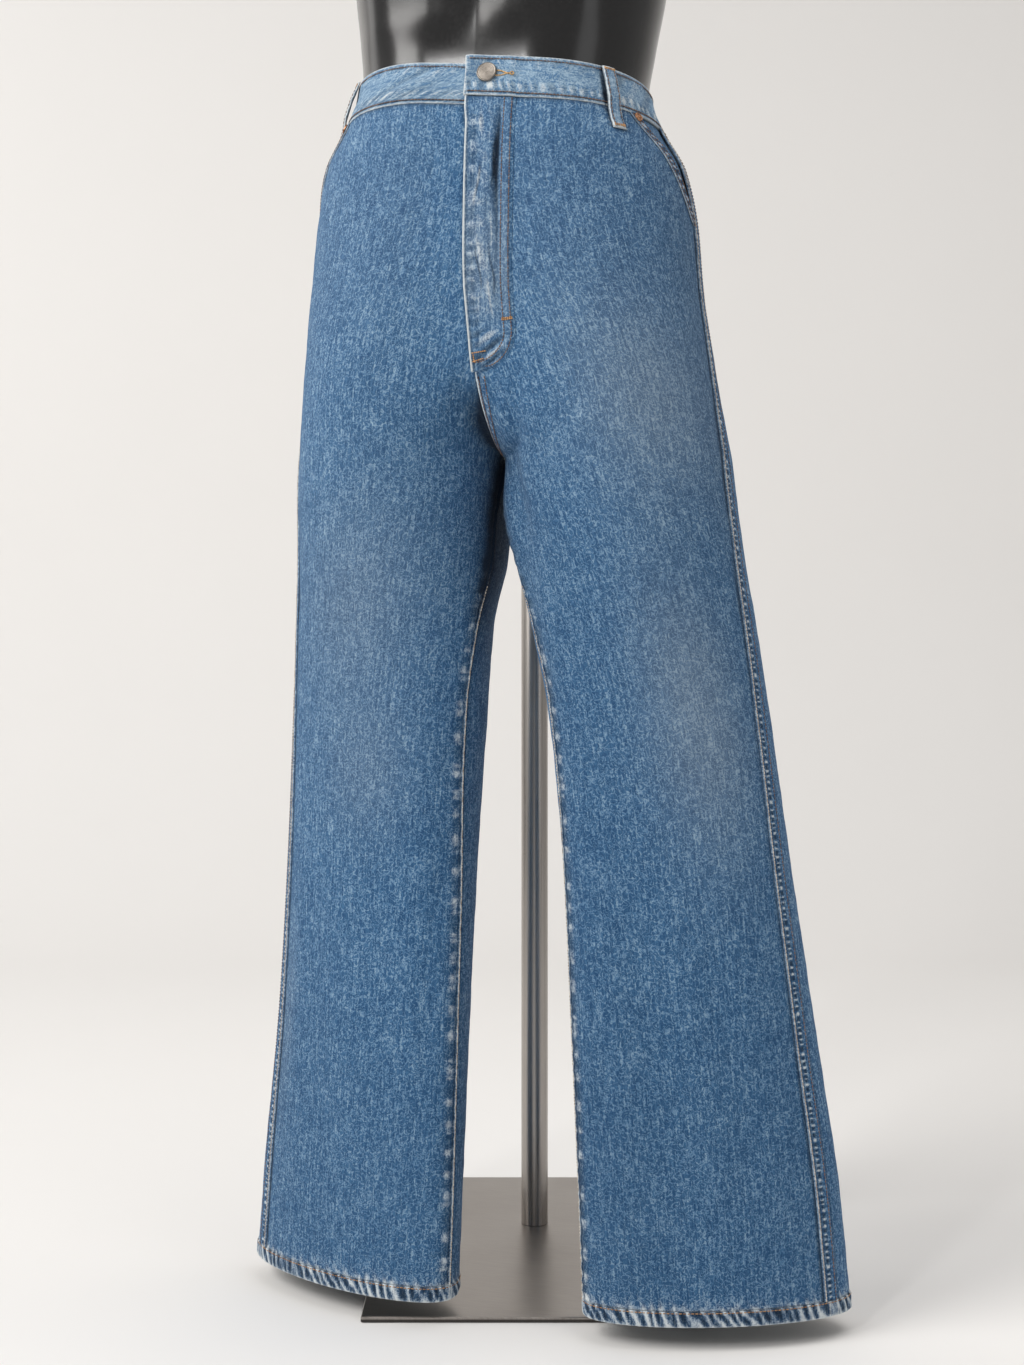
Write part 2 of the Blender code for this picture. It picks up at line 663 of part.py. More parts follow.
def turned(name, profile, place, axis, look):
    """A turned solid: a profile of radius and height, from the top of the axis to its foot."""
    bm = bmesh.new()
    verts = [bm.verts.new((radius, 0, height)) for radius, height in profile]
    for a, b in zip(verts, verts[1:]):
        bm.edges.new((a, b))
    mesh = bpy.data.meshes.new(name)
    bm.to_mesh(mesh)
    bm.free()
    obj = bpy.data.objects.new(name, mesh)
    clear_collection("jeans").objects.link(obj)
    screw = obj.modifiers.new("turn", "SCREW")
    screw.steps = screw.render_steps = 24
    screw.use_merge_vertices = True
    screw.merge_threshold = 0.0001
    obj.rotation_mode = "QUATERNION"
    obj.rotation_quaternion = Vector((0, 0, 1)).rotation_difference(axis)
    obj.location = place
    finish_look(obj, look)
    return obj


def build_button():
    """The fly button, on the lapped end of the waistband."""
    q = q_at_x(BUTTON_Z, BUTTON_X)
    point, out = anchor(+1, BUTTON_Z, q)
    seat = BAND_PROUD + BAND_WALL + GAP + BUTTON_SHANK
    rim = BUTTON_RADIUS
    profile = [(0, BUTTON_HEIGHT), (rim * 0.55, BUTTON_HEIGHT * 0.97), (rim * 0.90, BUTTON_HEIGHT * 0.80),
               (rim, BUTTON_HEIGHT * 0.45), (rim * 0.92, 0.0), (0, 0.0)]
    turned("button", profile, point + out * seat, out, DARK_METAL)


def build_rivet(side, fronts):
    """The rivet at the top of a slash pocket's edge."""
    upper = between(fronts[-1][0], fronts[-1][1], RIVET_ACROSS)
    lower = between(fronts[-2][0], fronts[-2][1], RIVET_ACROSS)
    point, out = between(upper, lower, RIVET_DOWN)
    profile = [(0, RIVET_HEIGHT), (RIVET_RADIUS * 0.75, RIVET_HEIGHT), (RIVET_RADIUS, RIVET_HEIGHT * 0.4),
               (RIVET_RADIUS, 0.0), (0, 0.0)]
    turned("rivet_" + side_name(side), profile, point + out * RIVET_CLEARANCE, out, COPPER)


def form_point(side, z, q, inset, scale):
    """A point of the dress form, a given distance inside the garment's surface."""
    shape_z = max(z, FORM_BASE_SECTION_Z)
    base = hang(side, *section_point(shape_z, q), shape_z, step=False)
    out = normal(side, shape_z, q)
    flat_out = Vector((out.x, out.y, 0)).normalized()
    if base.y < 0:
        inset += FORM_FRONT_EASE * max(1 - abs(base.x) / FRONT_STEP_REACH, 0.0) ** 2
    if abs(q - 2) < 1e-3:
        flat_out.x = 0
        base.x -= side * SEAM_HALF_GAP
    point = base - flat_out * inset
    point.z += z - shape_z
    middle = Vector((0, FORM_MIDDLE_Y, point.z))
    point = middle + (point - middle) * scale
    point.x += FORM_LEAN * max(z - BAND_TOP_Z, 0.0)
    return point


def build_form():
    """The limbless trouser form, which fills the waistband and ends above the crotch."""
    ring = []
    for side in (+1, -1):
        front, back = waist_qs(side)
        half = list(reversed(back[:-1])) + front[:-1]
        ring += [(+1, q) for q in half] + [(+1, front[-1])] if side > 0 else \
            [(-1, q) for q in reversed(half)] + [(-1, back[-1])]
    bm = bmesh.new()
    rings = [[bm.verts.new(form_point(side, z, q, inset, scale)) for side, q in ring]
             for z, inset, scale in FORM_ROWS]
    count = len(ring)
    for low, high in zip(rings, rings[1:]):
        for j in range(count):
            k = (j + 1) % count
            bm.faces.new((low[j], low[k], high[k], high[j]))
    bm.faces.new(rings[0])
    bm.faces.new(rings[-1])
    return object_from(bm, "dress_form", FORM_GLOSS)


def round_bar(name, start, end, radius, look, collection_name="jeans", sides=ROUND_SIDES):
    """A round bar between two points."""
    axis = Vector(end) - Vector(start)
    bm = bmesh.new()
    turn = Vector((0, 0, 1)).rotation_difference(axis).to_matrix().to_4x4()
    place = Matrix.Translation((Vector(start) + Vector(end)) / 2) @ turn
    bmesh.ops.create_cone(bm, cap_ends=True, segments=sides, radius1=radius, radius2=radius,
                          depth=axis.length, matrix=place)
    return object_from(bm, name, look, collection_name)


def build_arm():
    """The bracket that carries the form: a collar on the pole, an arm and a flange against the back."""
    heights = [ARM_Z + FLANGE_RADIUS * k / 4 for k in range(-4, 5)]
    spine = [form_point(+1, z, 2 + 1e-6, FORM_ROWS[-1][1], 1.0) for z in heights]
    slope = spine[-1] - spine[0]
    out = Vector((0, slope.z, -slope.y)).normalized()
    clear = max((point - spine[4]).dot(out) for point in spine) + 2 * GAP
    seat = Vector((spine[4].x, spine[4].y, ARM_Z)) + out * clear
    pole = Vector((POLE_CENTRE[0], POLE_CENTRE[1], ARM_Z))
    rise = Vector((0, 0, COLLAR_HALF_HEIGHT))
    collar = round_bar("stand_arm", pole - rise, pole + rise, COLLAR_RADIUS, STEEL)
    flange = round_bar("arm_flange_tool", seat, seat + out * FLANGE_THICK, FLANGE_RADIUS, STEEL, "tools")
    arm = round_bar("arm_bar_tool", seat + out * FLANGE_THICK / 2, pole, ARM_RADIUS, STEEL, "tools")
    bore = round_bar("arm_bore_tool", pole - rise * 2, pole + rise * 2, POLE_RADIUS + GAP, STEEL, "tools")
    for tool, operation in ((arm, "UNION"), (flange, "UNION"), (bore, "DIFFERENCE")):
        cut = collar.modifiers.new(tool.name, "BOOLEAN")
        cut.operation = operation
        cut.object = tool
        tool.hide_render = True
        tool.display_type = "WIRE"


def build_stand():
    """Base plate and pole."""
    bm = bmesh.new()
    bmesh.ops.create_cube(bm, size=1.0)
    bmesh.ops.scale(bm, vec=(PLATE_WIDTH, PLATE_DEPTH, PLATE_THICK), verts=bm.verts)
    plate = object_from(bm, "base_plate", STEEL)
    plate.location = (PLATE_CENTRE[0], PLATE_CENTRE[1], PLATE_THICK / 2)
    plate.rotation_euler = (0, 0, STAND_TURN)
    bevel = plate.modifiers.new("edges", "BEVEL")
    bevel.width = PLATE_BEVEL
    bevel.segments = 1
    round_bar("stand_pole", (*POLE_CENTRE, PLATE_THICK + GAP), (*POLE_CENTRE, POLE_TOP_Z), POLE_RADIUS, STEEL)
    build_arm()


def main():
    for obj in list(bpy.data.objects):
        bpy.data.objects.remove(obj, do_unlink=True)
    left_fronts = None
    for side in (+1, -1):
        fronts = [front_row(side, z) for z in FRONT_ROWS]
        backs = [back_row(side, z) for z in BACK_ROWS]
        yokes = [back_row(side, z) for z in YOKE_ROWS]
        build_panels(side, fronts, backs, yokes)
        build_hem(side)
        build_outseam(side, fronts, backs, yokes)
        build_slash_pocket(side, fronts)
        build_back_pocket(side, backs)
        build_rivet(side, fronts)
        left_fronts = left_fronts or fronts
    build_fly(left_fronts)
    build_waistband()
    for name, side, top_q, foot_q in LOOPS:
        build_loop(name, side, top_q, foot_q)
    build_button()
    build_form()
    build_stand()


main()
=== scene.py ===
"""Looks of a pair of relaxed-fit jeans on a limbless trouser form and its stand.

Metres, in the row frame. The cloth repeats the sections of the solids: a point of a leg's cloth is given by
its side (+1 is the wearer's left), its height z and q, a number of quarter turns round the section: 0 at the
outer edge, 1 at the front, 2 at the inner edge or the centre line, 3 at the back and 4 at the outer edge.
"""
import math

import bpy
import numpy as np
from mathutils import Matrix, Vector


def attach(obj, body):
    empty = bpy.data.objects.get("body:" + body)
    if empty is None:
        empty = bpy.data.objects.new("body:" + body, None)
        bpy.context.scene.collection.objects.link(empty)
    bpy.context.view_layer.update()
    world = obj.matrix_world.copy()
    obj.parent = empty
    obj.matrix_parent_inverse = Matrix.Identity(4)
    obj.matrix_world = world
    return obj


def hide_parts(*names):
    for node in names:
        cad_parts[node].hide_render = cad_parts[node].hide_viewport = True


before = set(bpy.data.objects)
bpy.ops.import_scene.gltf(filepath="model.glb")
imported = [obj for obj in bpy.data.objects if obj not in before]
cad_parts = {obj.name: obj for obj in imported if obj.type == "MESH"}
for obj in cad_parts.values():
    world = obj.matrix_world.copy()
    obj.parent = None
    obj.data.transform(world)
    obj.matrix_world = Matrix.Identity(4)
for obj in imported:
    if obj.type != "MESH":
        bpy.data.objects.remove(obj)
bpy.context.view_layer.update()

# The garment's main lines, as in the solids
HEM_Z = 0.020
HEM_HEIGHT = 0.013
CROTCH_Z = 0.752
YOKE_SIDE_Z = 1.005
YOKE_CENTRE_Z = 0.955
YOKE_ROWS_FROM_Z = 0.8795
WAIST_SEAM_Z = 1.036
BAND_TOP_Z = 1.072
WALL = 0.0014
BAND_WALL = 0.0024
HEM_WALL = 0.0026
PATCH_WALL = 0.0011
BAND_PROUD = 0.0006
HEM_PROUD = 0.0008
GAP = 0.0003
SEAM_HALF_GAP = GAP / 2
SEAM_STRIP = 0.0046
SEAM_STRIP_FRONT = 0.0086
BAND_LAP = 0.0050
BAND_LAP_FROM_Q = 0.85
BAND_LAP_EASE_Q = 0.40
POCKET_HEM = 0.0090
FLY_LAP = 0.0038
FLY_LAP_LOW = 0.0019
FLY_WIDTH = 0.040
HIP_TILT = 0.060
SWAY_TOP_Z = 0.880
LEG_SWAY = 0.0195
FRONT_STEP = 0.0035
FRONT_STEP_REACH = 0.080
FRONT_STEP_FROM_Z = 0.900
FRONT_RISE_HEIGHT = 0.0850
BACK_RISE_HEIGHT = 0.1275
FLY_SINK = 0.010
FLY_SINK_TOP_Z = 0.920
FLY_SINK_EASE = 0.120
SEAT_SINK = 0.014
SEAT_SINK_TOP_Z = 1.010
SEAT_SINK_EASE = 0.140
SLASH_FOOT_Z = 0.943
SLASH_TOP_Q = 0.310
# z, side_x, side_y, front_x, front_y, back_x, back_y: one half of the waist and hips
HIPS = [
    (1.250, 0.1460, 0.000, 0.046, -0.1080, 0.046, 0.1060),
    (1.160, 0.1400, 0.000, 0.044, -0.1030, 0.044, 0.1010),
    (1.110, 0.1330, 0.000, 0.042, -0.0970, 0.042, 0.0960),
    (1.072, 0.1290, 0.000, 0.042, -0.0945, 0.042, 0.0950),
    (1.036, 0.1400, 0.000, 0.042, -0.1015, 0.042, 0.1030),
    (1.000, 0.1590, 0.000, 0.042, -0.1080, 0.050, 0.1130),
    (0.950, 0.1695, 0.000, 0.048, -0.1120, 0.065, 0.1240),
    (0.900, 0.1735, 0.000, 0.060, -0.1140, 0.078, 0.1290),
    (0.840, 0.1805, 0.000, 0.080, -0.1120, 0.090, 0.1260),
    (0.790, 0.1870, 0.000, 0.092, -0.1060, 0.096, 0.1180),
]
# z, centre_x, centre_y, half_width, front_depth, back_depth, turn_degrees: one leg
LEGS = [
    (0.740, 0.0975, 0.002, 0.0965, 0.098, 0.108, 0.0),
    (0.668, 0.1030, 0.004, 0.0975, 0.085, 0.096, 7.0),
    (0.600, 0.1131, 0.006, 0.0965, 0.074, 0.084, 12.0),
    (0.540, 0.1222, 0.007, 0.0950, 0.066, 0.074, 15.0),
    (0.400, 0.1362, 0.008, 0.0980, 0.055, 0.068, 19.0),
    (0.250, 0.1494, 0.009, 0.1060, 0.047, 0.063, 22.0),
    (0.120, 0.1610, 0.010, 0.1128, 0.043, 0.061, 22.0),
    (0.020, 0.1675, 0.010, 0.1155, 0.042, 0.060, 22.0),
]
# z, outseam_degrees, inseam_degrees: how far ahead of the leg's outer and inner edges the seams run
SEAMS = [
    (0.000, 35.0, 0.0),
    (0.200, 35.0, 1.0),
    (0.350, 33.0, 4.0),
    (0.500, 29.0, 12.0),
    (0.600, 24.0, 15.0),
    (0.760, 8.0, 0.0),
    (0.900, 0.0, 0.0),
    (1.080, 0.0, 0.0),
]
# side, z, q, lean_degrees, half_length, half_width, depth: the broad folds
FOLDS = [
    (+1, 0.705, 1.62, 14.0, 0.085, 0.022, 0.0035),
    (-1, 0.700, 1.62, 12.0, 0.075, 0.022, 0.0030),
    (+1, 0.560, 0.85, 62.0, 0.060, 0.024, 0.0020),
    (-1, 0.590, 0.95, -58.0, 0.065, 0.024, 0.0022),
    (+1, 0.330, 1.35, 8.0, 0.150, 0.028, 0.0022),
    (-1, 0.300, 1.30, -6.0, 0.150, 0.028, 0.0022),
    (+1, 0.745, 3.05, 66.0, 0.070, 0.020, 0.0030),
    (-1, 0.740, 3.10, -64.0, 0.070, 0.020, 0.0030),
    (+1, 0.520, 3.00, 70.0, 0.065, 0.024, 0.0028),
    (-1, 0.535, 2.95, -72.0, 0.065, 0.024, 0.0028),
]
# Broad folds of the cloth alone, in the same form; a depth below 0 stands out
SOFT_FOLDS = [
    (-1, 0.615, 2.25, 0.0, 0.055, 0.045, 0.0090),
    (-1, 0.706, 2.02, 0.0, 0.040, 0.040, 0.0090),
    (+1, 0.706, 1.94, 0.0, 0.040, 0.040, -0.0080),
]
FOLD_ARC = 0.150
CREASE_WOBBLE = 0.0035
# side, z, q, lean_degrees, half_length, half_width, depth: small creases, sunk where the depth is above 0
CREASES = [
    (-1, 0.742, 1.870, 4.0, 0.050, 0.0150, 0.0050),
    (-1, 0.690, 1.720, 8.0, 0.080, 0.0110, 0.0016),
    (-1, 0.700, 1.560, 10.0, 0.070, 0.0130, -0.0014),
    (+1, 0.720, 1.780, -6.0, 0.090, 0.0120, -0.0022),
    (+1, 0.715, 1.640, -8.0, 0.090, 0.0100, 0.0018),
    (+1, 0.640, 1.560, -10.0, 0.110, 0.0130, -0.0016),
    (+1, 0.792, 1.800, 38.0, 0.022, 0.0050, 0.0010),
    (+1, 0.778, 1.700, 52.0, 0.026, 0.0060, 0.0010),
    (-1, 0.800, 1.830, 46.0, 0.024, 0.0055, 0.0011),
    (-1, 0.780, 1.740, 58.0, 0.030, 0.0070, 0.0010),
    (+1, 0.985, 0.430, 42.0, 0.040, 0.0050, -0.0010),
    (+1, 0.975, 0.520, 44.0, 0.034, 0.0050, 0.0008),
    (+1, 0.990, 0.620, 34.0, 0.026, 0.0045, -0.0007),
    (+1, 0.940, 0.250, 30.0, 0.030, 0.0060, 0.0008),
    (-1, 1.000, 0.520, 30.0, 0.024, 0.0050, 0.0007),
    (-1, 0.975, 0.300, 36.0, 0.034, 0.0060, 0.0008),
    (+1, 0.995, 1.300, 4.0, 0.030, 0.0045, 0.0006),
    (-1, 0.990, 1.350, -6.0, 0.030, 0.0045, 0.0006),
    (+1, 0.590, 0.500, 58.0, 0.050, 0.0100, 0.0011),
    (+1, 0.545, 1.150, 66.0, 0.045, 0.0110, 0.0010),
    (-1, 0.560, 1.500, -56.0, 0.050, 0.0110, 0.0011),
    (-1, 0.620, 0.450, -50.0, 0.050, 0.0100, 0.0011),
    (+1, 0.260, 0.900, 5.0, 0.170, 0.0150, 0.0014),
    (+1, 0.220, 1.620, -4.0, 0.160, 0.0140, 0.0014),
    (-1, 0.240, 0.850, -5.0, 0.160, 0.0150, 0.0014),
    (-1, 0.280, 1.650, 4.0, 0.160, 0.0120, 0.0012),
    (+1, 0.100, 0.560, 22.0, 0.050, 0.0060, 0.0008),
    (-1, 0.090, 1.250, -14.0, 0.050, 0.0070, 0.0008),
    (+1, 0.800, 2.700, 60.0, 0.060, 0.0120, 0.0022),
    (-1, 0.800, 2.720, -60.0, 0.060, 0.0120, 0.0022),
    (+1, 0.770, 2.350, 50.0, 0.050, 0.0100, 0.0020),
    (-1, 0.770, 2.380, -50.0, 0.050, 0.0100, 0.0020),
    (+1, 0.700, 3.450, 70.0, 0.050, 0.0110, 0.0016),
    (-1, 0.705, 3.400, -70.0, 0.050, 0.0110, 0.0016),
    (+1, 0.560, 2.900, 62.0, 0.055, 0.0100, 0.0018),
    (-1, 0.570, 2.880, -62.0, 0.055, 0.0100, 0.0018),
    (+1, 0.490, 3.200, 74.0, 0.050, 0.0100, 0.0016),
    (-1, 0.500, 3.150, -74.0, 0.050, 0.0100, 0.0016),
    (+1, 0.300, 3.000, 4.0, 0.160, 0.0170, 0.0018),
    (-1, 0.290, 3.050, -4.0, 0.160, 0.0170, 0.0018),
]
# side, z, q, half_height, half_q, strength: where the cloth is faded
FADES = [
    (-1, 0.625, 0.98, 0.100, 0.42, 0.40),
    (-1, 0.480, 1.15, 0.060, 0.30, 0.28),
    (-1, 0.250, 0.55, 0.090, 0.09, 0.30),
    (+1, 0.785, 0.62, 0.080, 0.42, 0.58),
    (+1, 0.530, 0.80, 0.110, 0.30, 0.66),
    (-1, 0.930, 0.80, 0.150, 0.80, 0.16),
    (+1, 0.940, 0.90, 0.130, 0.90, 0.12),
    (-1, 0.840, 3.10, 0.120, 0.60, 0.45),
    (+1, 0.840, 3.10, 0.120, 0.60, 0.45),
    (-1, 0.500, 3.05, 0.130, 0.45, 0.35),
    (+1, 0.500, 3.05, 0.130, 0.45, 0.35),
]
# Belt loops: name, side, q at the top, q at the foot
LOOPS = [
    ("front_left", +1, 0.462, 0.492),
    ("front_right", -1, 0.330, 0.200),
    ("back_left", +1, 3.580, 3.580),
    ("back_right", -1, 3.580, 3.580),
    ("centre_back", +1, 2.002, 2.002),
]
LOOP_HALF_WIDTH = 0.0062
LOOP_WALL = 0.0018
# z, clearance over the panel's surface
LOOP_PROFILE = [
    (1.0160, 0.0004),
    (1.0240, 0.0006),
    (1.0330, 0.0019),
    (1.0440, 0.0042),
    (1.0560, 0.0044),
    (1.0650, 0.0028),
    (1.0715, 0.0010),
]
BUTTON_X = 0.0145
BUTTON_Z = 1.0550
BUTTON_RADIUS = 0.0085
BUTTON_HEIGHT = 0.0030
BUTTON_SHANK = 0.0008
RIVET_RADIUS = 0.0042
RIVET_HEIGHT = 0.0014
RIVET_Z = 1.0320
# Form: z, inset from the garment's surface, scale about the middle
FORM_ROWS = [
    (0.800, 0.0180, 0.40),
    (0.806, 0.0180, 0.66),
    (0.820, 0.0180, 0.84),
    (0.842, 0.0180, 0.95),
    (0.872, 0.0170, 1.00),
    (0.920, 0.0150, 1.00),
    (0.970, 0.0110, 1.00),
    (1.010, 0.0070, 1.00),
    (1.036, 0.0044, 1.00),
    (1.054, 0.0023, 1.00),
    (1.072, 0.0023, 1.00),
    (1.110, 0.0020, 1.00),
    (1.150, 0.0020, 1.00),
    (1.195, 0.0020, 1.00),
    (1.236, 0.0020, 1.00),
    (1.2394, 0.0020, 0.985),
    (1.2405, 0.0020, 0.960),
]
# Form's front: place across, half_width, height of its soft ridges and of the groove between them
FORM_RELIEF = [
    (-0.092, 0.018, 0.0020),
    (-0.034, 0.019, 0.0030),
    (0.000, 0.010, -0.0012),
    (0.034, 0.019, 0.0030),
    (0.092, 0.018, 0.0020),
]
FORM_FRONT_EASE = 0.0012
FORM_LEAN = 0.060
FORM_LEVEL_Z = 1.220
FORM_BASE_SECTION_Z = 0.872
FORM_MIDDLE_Y = 0.005
POLE_RADIUS = 0.0135
POLE_CENTRE = (-0.042, 0.244)
POLE_FOOT_Z = 0.0053
POLE_TOP_Z = 1.178
HEM_TOP_Z = HEM_Z + HEM_HEIGHT
PANEL_FOOT_Z = HEM_TOP_Z + GAP
CENTRE_FRONT_Q = 2 - 1e-6
CENTRE_BACK_Q = 2 + 1e-6
FLY_FOOT_Z = 0.8125
FLY_CURVE_Z = 0.8480
FLY_RIM_GAP = 0.00012
FLY_FOOT_TOP_Z = 0.850
FLY_FOOT_MIDDLE = 0.018
FLY_FOOT_REACH = 0.012
INSEAM_STITCHES_TOP_Z = 0.640
FACING_FOOT_Z = 0.926
# Back pocket: height, width, foot's point, and its place at the top and at the foot
PATCH_HEIGHT = 0.150
PATCH_WIDTH = 0.135
PATCH_POINT = 0.019
PATCH_Z = (0.960, 0.803)
PATCH_OUTER_Q = (3.648, 3.640)
PATCH_INNER_Q = (2.436, 2.446)
# The slash pocket's edge stands open by a little at half its height
GAPE_DEPTH = 0.0016
GAPE_Z = 0.992
GAPE_HALF_HEIGHT = 0.020
GAPE_REACH = 0.022
RIVET_SEAT = 0.0018
LOOP_FOOT_Z, LOOP_TOP_Z = LOOP_PROFILE[0][0], LOOP_PROFILE[-1][0]

# Camera and light
CAMERA_PLACE = (0.4431, -1.4749, 0.556)
CAMERA_TURN = math.radians(16.5)
CAMERA_LENS = 46.15


def smooth(t):
    """Eased step from 0 to 1."""
    t = np.clip(t, 0.0, 1.0)
    return t * t * (3 - 2 * t)


def blend(a, b, t):
    """Straight mix."""
    return a + (b - a) * t


def bump(x, centre, half_width):
    """Round bump of height 1."""
    return np.exp(-((x - centre) / half_width) ** 2)


def curve_of(rows):
    """Monotone cubic through every column of a table whose first column rises."""
    table = np.array(sorted(rows), float)
    xs, ys = table[:, 0], table[:, 1:]
    widths = np.diff(xs)[:, None]
    slopes = np.diff(ys, axis=0) / widths
    before, after = slopes[:-1], slopes[1:]
    w1, w2 = 2 * widths[1:] + widths[:-1], widths[1:] + 2 * widths[:-1]
    rising = before * after > 0
    safe_before, safe_after = np.where(rising, before, 1.0), np.where(rising, after, 1.0)
    inner = np.where(rising, (w1 + w2) / (w1 / safe_before + w2 / safe_after), 0.0)
    return xs, ys, np.vstack([slopes[:1], inner, slopes[-1:]])


def through(curve, x):
    """The columns of a curve at x."""
    xs, ys, tangents = curve
    x = np.clip(np.asarray(x, float), xs[0], xs[-1])
    i = np.clip(np.searchsorted(xs, x, side="right") - 1, 0, len(xs) - 2)
    width = (xs[i + 1] - xs[i])[..., None]
    t = (x - xs[i])[..., None] / width
    return ((2 * t**3 - 3 * t**2 + 1) * ys[i] + (t**3 - 2 * t**2 + t) * width * tangents[i]
            + (3 * t**2 - 2 * t**3) * ys[i + 1] + (t**3 - t**2) * width * tangents[i + 1])


def section_rows():
    """Every section by its outer, front, inner and back points and its turn."""
    rows = [(z, sx, sy, fx, fy, 0.0, 0.0, bx, by, 0.0) for z, sx, sy, fx, fy, bx, by in HIPS]
    for z, cx, cy, half, front, back, turn in LEGS:
        c, s = math.cos(math.radians(turn)), math.sin(math.radians(turn))
        rows.append((z, cx + half * c, cy + half * s, cx + front * s, cy - front * c,
                     cx - half * c, cy - half * s, cx - back * s, cy + back * c, turn))
    return rows


SECTIONS = curve_of(section_rows())
SEAM_CURVE = curve_of(SEAMS)
LOOP_CURVE = curve_of(LOOP_PROFILE)
CROTCH_Y = LEGS[0][2]


def section_point(z, q):
    """Points of one half's section."""
    z, q = np.broadcast_arrays(np.asarray(z, float), np.asarray(q, float))
    ox, oy, fx, fy, ix, iy, bx, by, turn = np.moveaxis(through(SECTIONS, z), -1, 0)
    turn = np.radians(turn)
    c, s = np.cos(turn), np.sin(turn)
    high = z > CROTCH_Z
    front = q <= 2
    height = np.where(front, FRONT_RISE_HEIGHT, BACK_RISE_HEIGHT)
    opened = np.where(high, np.clip((z - CROTCH_Z) / height, 0, 1), 0.0)
    ix, iy = np.where(high, 0.0, ix), np.where(high, CROTCH_Y, iy)
    cx, cy = np.where(front, fx, bx), np.where(front, fy, by)
    outer = (q <= 1) | (q > 3)
    v = np.where(q <= 1, q, 4 - q)
    w = np.where(front, q - 1, 3 - q)
    dx, dy = np.where(outer, cx - ox, ix - cx), np.where(outer, cy - oy, iy - cy)
    along, across = dx * c + dy * s, dy * c - dx * s
    reach = np.arcsin(1 - opened)
    cut = np.where(opened < 1, np.sin(w * reach) / np.maximum(1 - opened, 1e-9), w)
    along = along * np.where(outer, 1 - np.cos(v * np.pi / 2), cut)
    across = across * np.where(outer, np.sin(v * np.pi / 2), 1 - np.cos(w * reach))
    x = np.where(outer, ox, cx) + along * c - across * s
    y = np.where(outer, oy, cy) + along * s + across * c
    fly = FLY_SINK * smooth((FLY_SINK_TOP_Z - z) / FLY_SINK_EASE)
    seat = -SEAT_SINK * smooth((SEAT_SINK_TOP_Z - z) / SEAT_SINK_EASE)
    sink = np.where(front, fly, seat) * opened * smooth(w)
    return x, np.where(outer, y, y + sink)


def hang(side, x, y, z, step=True):
    """Places a section's points: the legs sway, the hips tilt and the two fronts meet at a small step."""
    x = side * np.maximum(x, SEAM_HALF_GAP)
    t = np.clip((SWAY_TOP_Z - z) / (SWAY_TOP_Z - HEM_Z), 0, 1)
    tilt = np.clip((z - CROTCH_Z) / (BAND_TOP_Z - CROTCH_Z), 0, 1)
    tilt = tilt * (1 - smooth((z - BAND_TOP_Z) / (FORM_LEVEL_Z - BAND_TOP_Z)))
    near = np.maximum(1 - np.abs(x) / FRONT_STEP_REACH, 0) ** 2
    up = smooth((z - FRONT_STEP_FROM_Z) / (WAIST_SEAM_Z - FRONT_STEP_FROM_Z))
    rise = np.where((y < 0) & step, side * FRONT_STEP * near * up, 0.0)
    return np.stack([x + LEG_SWAY * (1 - (1 - t) ** 2), y, z - HIP_TILT * x * tilt + rise], -1)


def surface(side, z, q):
    """The garment's outer surface before its folds."""
    z, q = np.broadcast_arrays(np.asarray(z, float), np.mod(np.asarray(q, float), 4))
    x, y = section_point(z, q)
    return hang(side, x, y, z)


def normal(side, z, q):
    """Directions out of the cloth."""
    dz, dq = 0.0008, 0.004
    q = np.mod(np.asarray(q, float), 4)
    q = np.where((q >= 2) & (q < 2 + dq), 2 + dq, q)
    q = np.where((q > 2 - dq) & (q < 2), 2 - dq, q)
    up = surface(side, z + dz, q) - surface(side, z - dz, q)
    across = surface(side, z, q + dq * 0.9) - surface(side, z, q - dq * 0.9)
    out = np.cross(up, across) * side
    return out / np.linalg.norm(out, axis=-1, keepdims=True)

def troughs(side, z, q, rows, wobble=0.0):
    """Depth of a table's folds: round troughs, each on a leaning line that may wave a little."""
    depth = 0.0
    q = np.mod(q, 4)
    for fold_side, fold_z, fold_q, lean, half_length, half_width, deep in rows:
        if fold_side == side:
            up, across = z - fold_z, (q - fold_q) * FOLD_ARC
            c, s = math.cos(math.radians(lean)), math.sin(math.radians(lean))
            along = up * c + across * s
            off = across * c - up * s + wobble * np.sin(along * 45 + fold_z * 90)
            depth = depth + deep * np.exp(-(along / half_length) ** 2 - (off / half_width) ** 2)
    return depth

def cloth(side, z, q):
    """Points of the cloth's outer side and the directions out of it."""
    z, q = np.broadcast_arrays(np.asarray(z, float), np.asarray(q, float))
    out = normal(side, z, q)
    return surface(side, z, q) - out * np.asarray(troughs(side, z, q, FOLDS + SOFT_FOLDS))[..., None], out


def arc_step(side, z, q, width):
    """How much q changes over a width along the cloth."""
    dq = 0.01
    return width * dq / np.linalg.norm(surface(side, z, q + dq) - surface(side, z, q), axis=-1)


def outseam_q(z):
    return through(SEAM_CURVE, z)[..., 0] / 90


def strip_shift(side):
    """How far ahead of the seam the felled strip lies: more on the right leg, where it faces forward."""
    return 0.0030 if side < 0 else 0.0


def inner_q(z, front):
    """The inseam below the crotch, and the centre line above it."""
    leg = 2 - through(SEAM_CURVE, z)[..., 1] / 90
    return np.where(z >= CROTCH_Z, CENTRE_FRONT_Q if front else CENTRE_BACK_Q, leg)


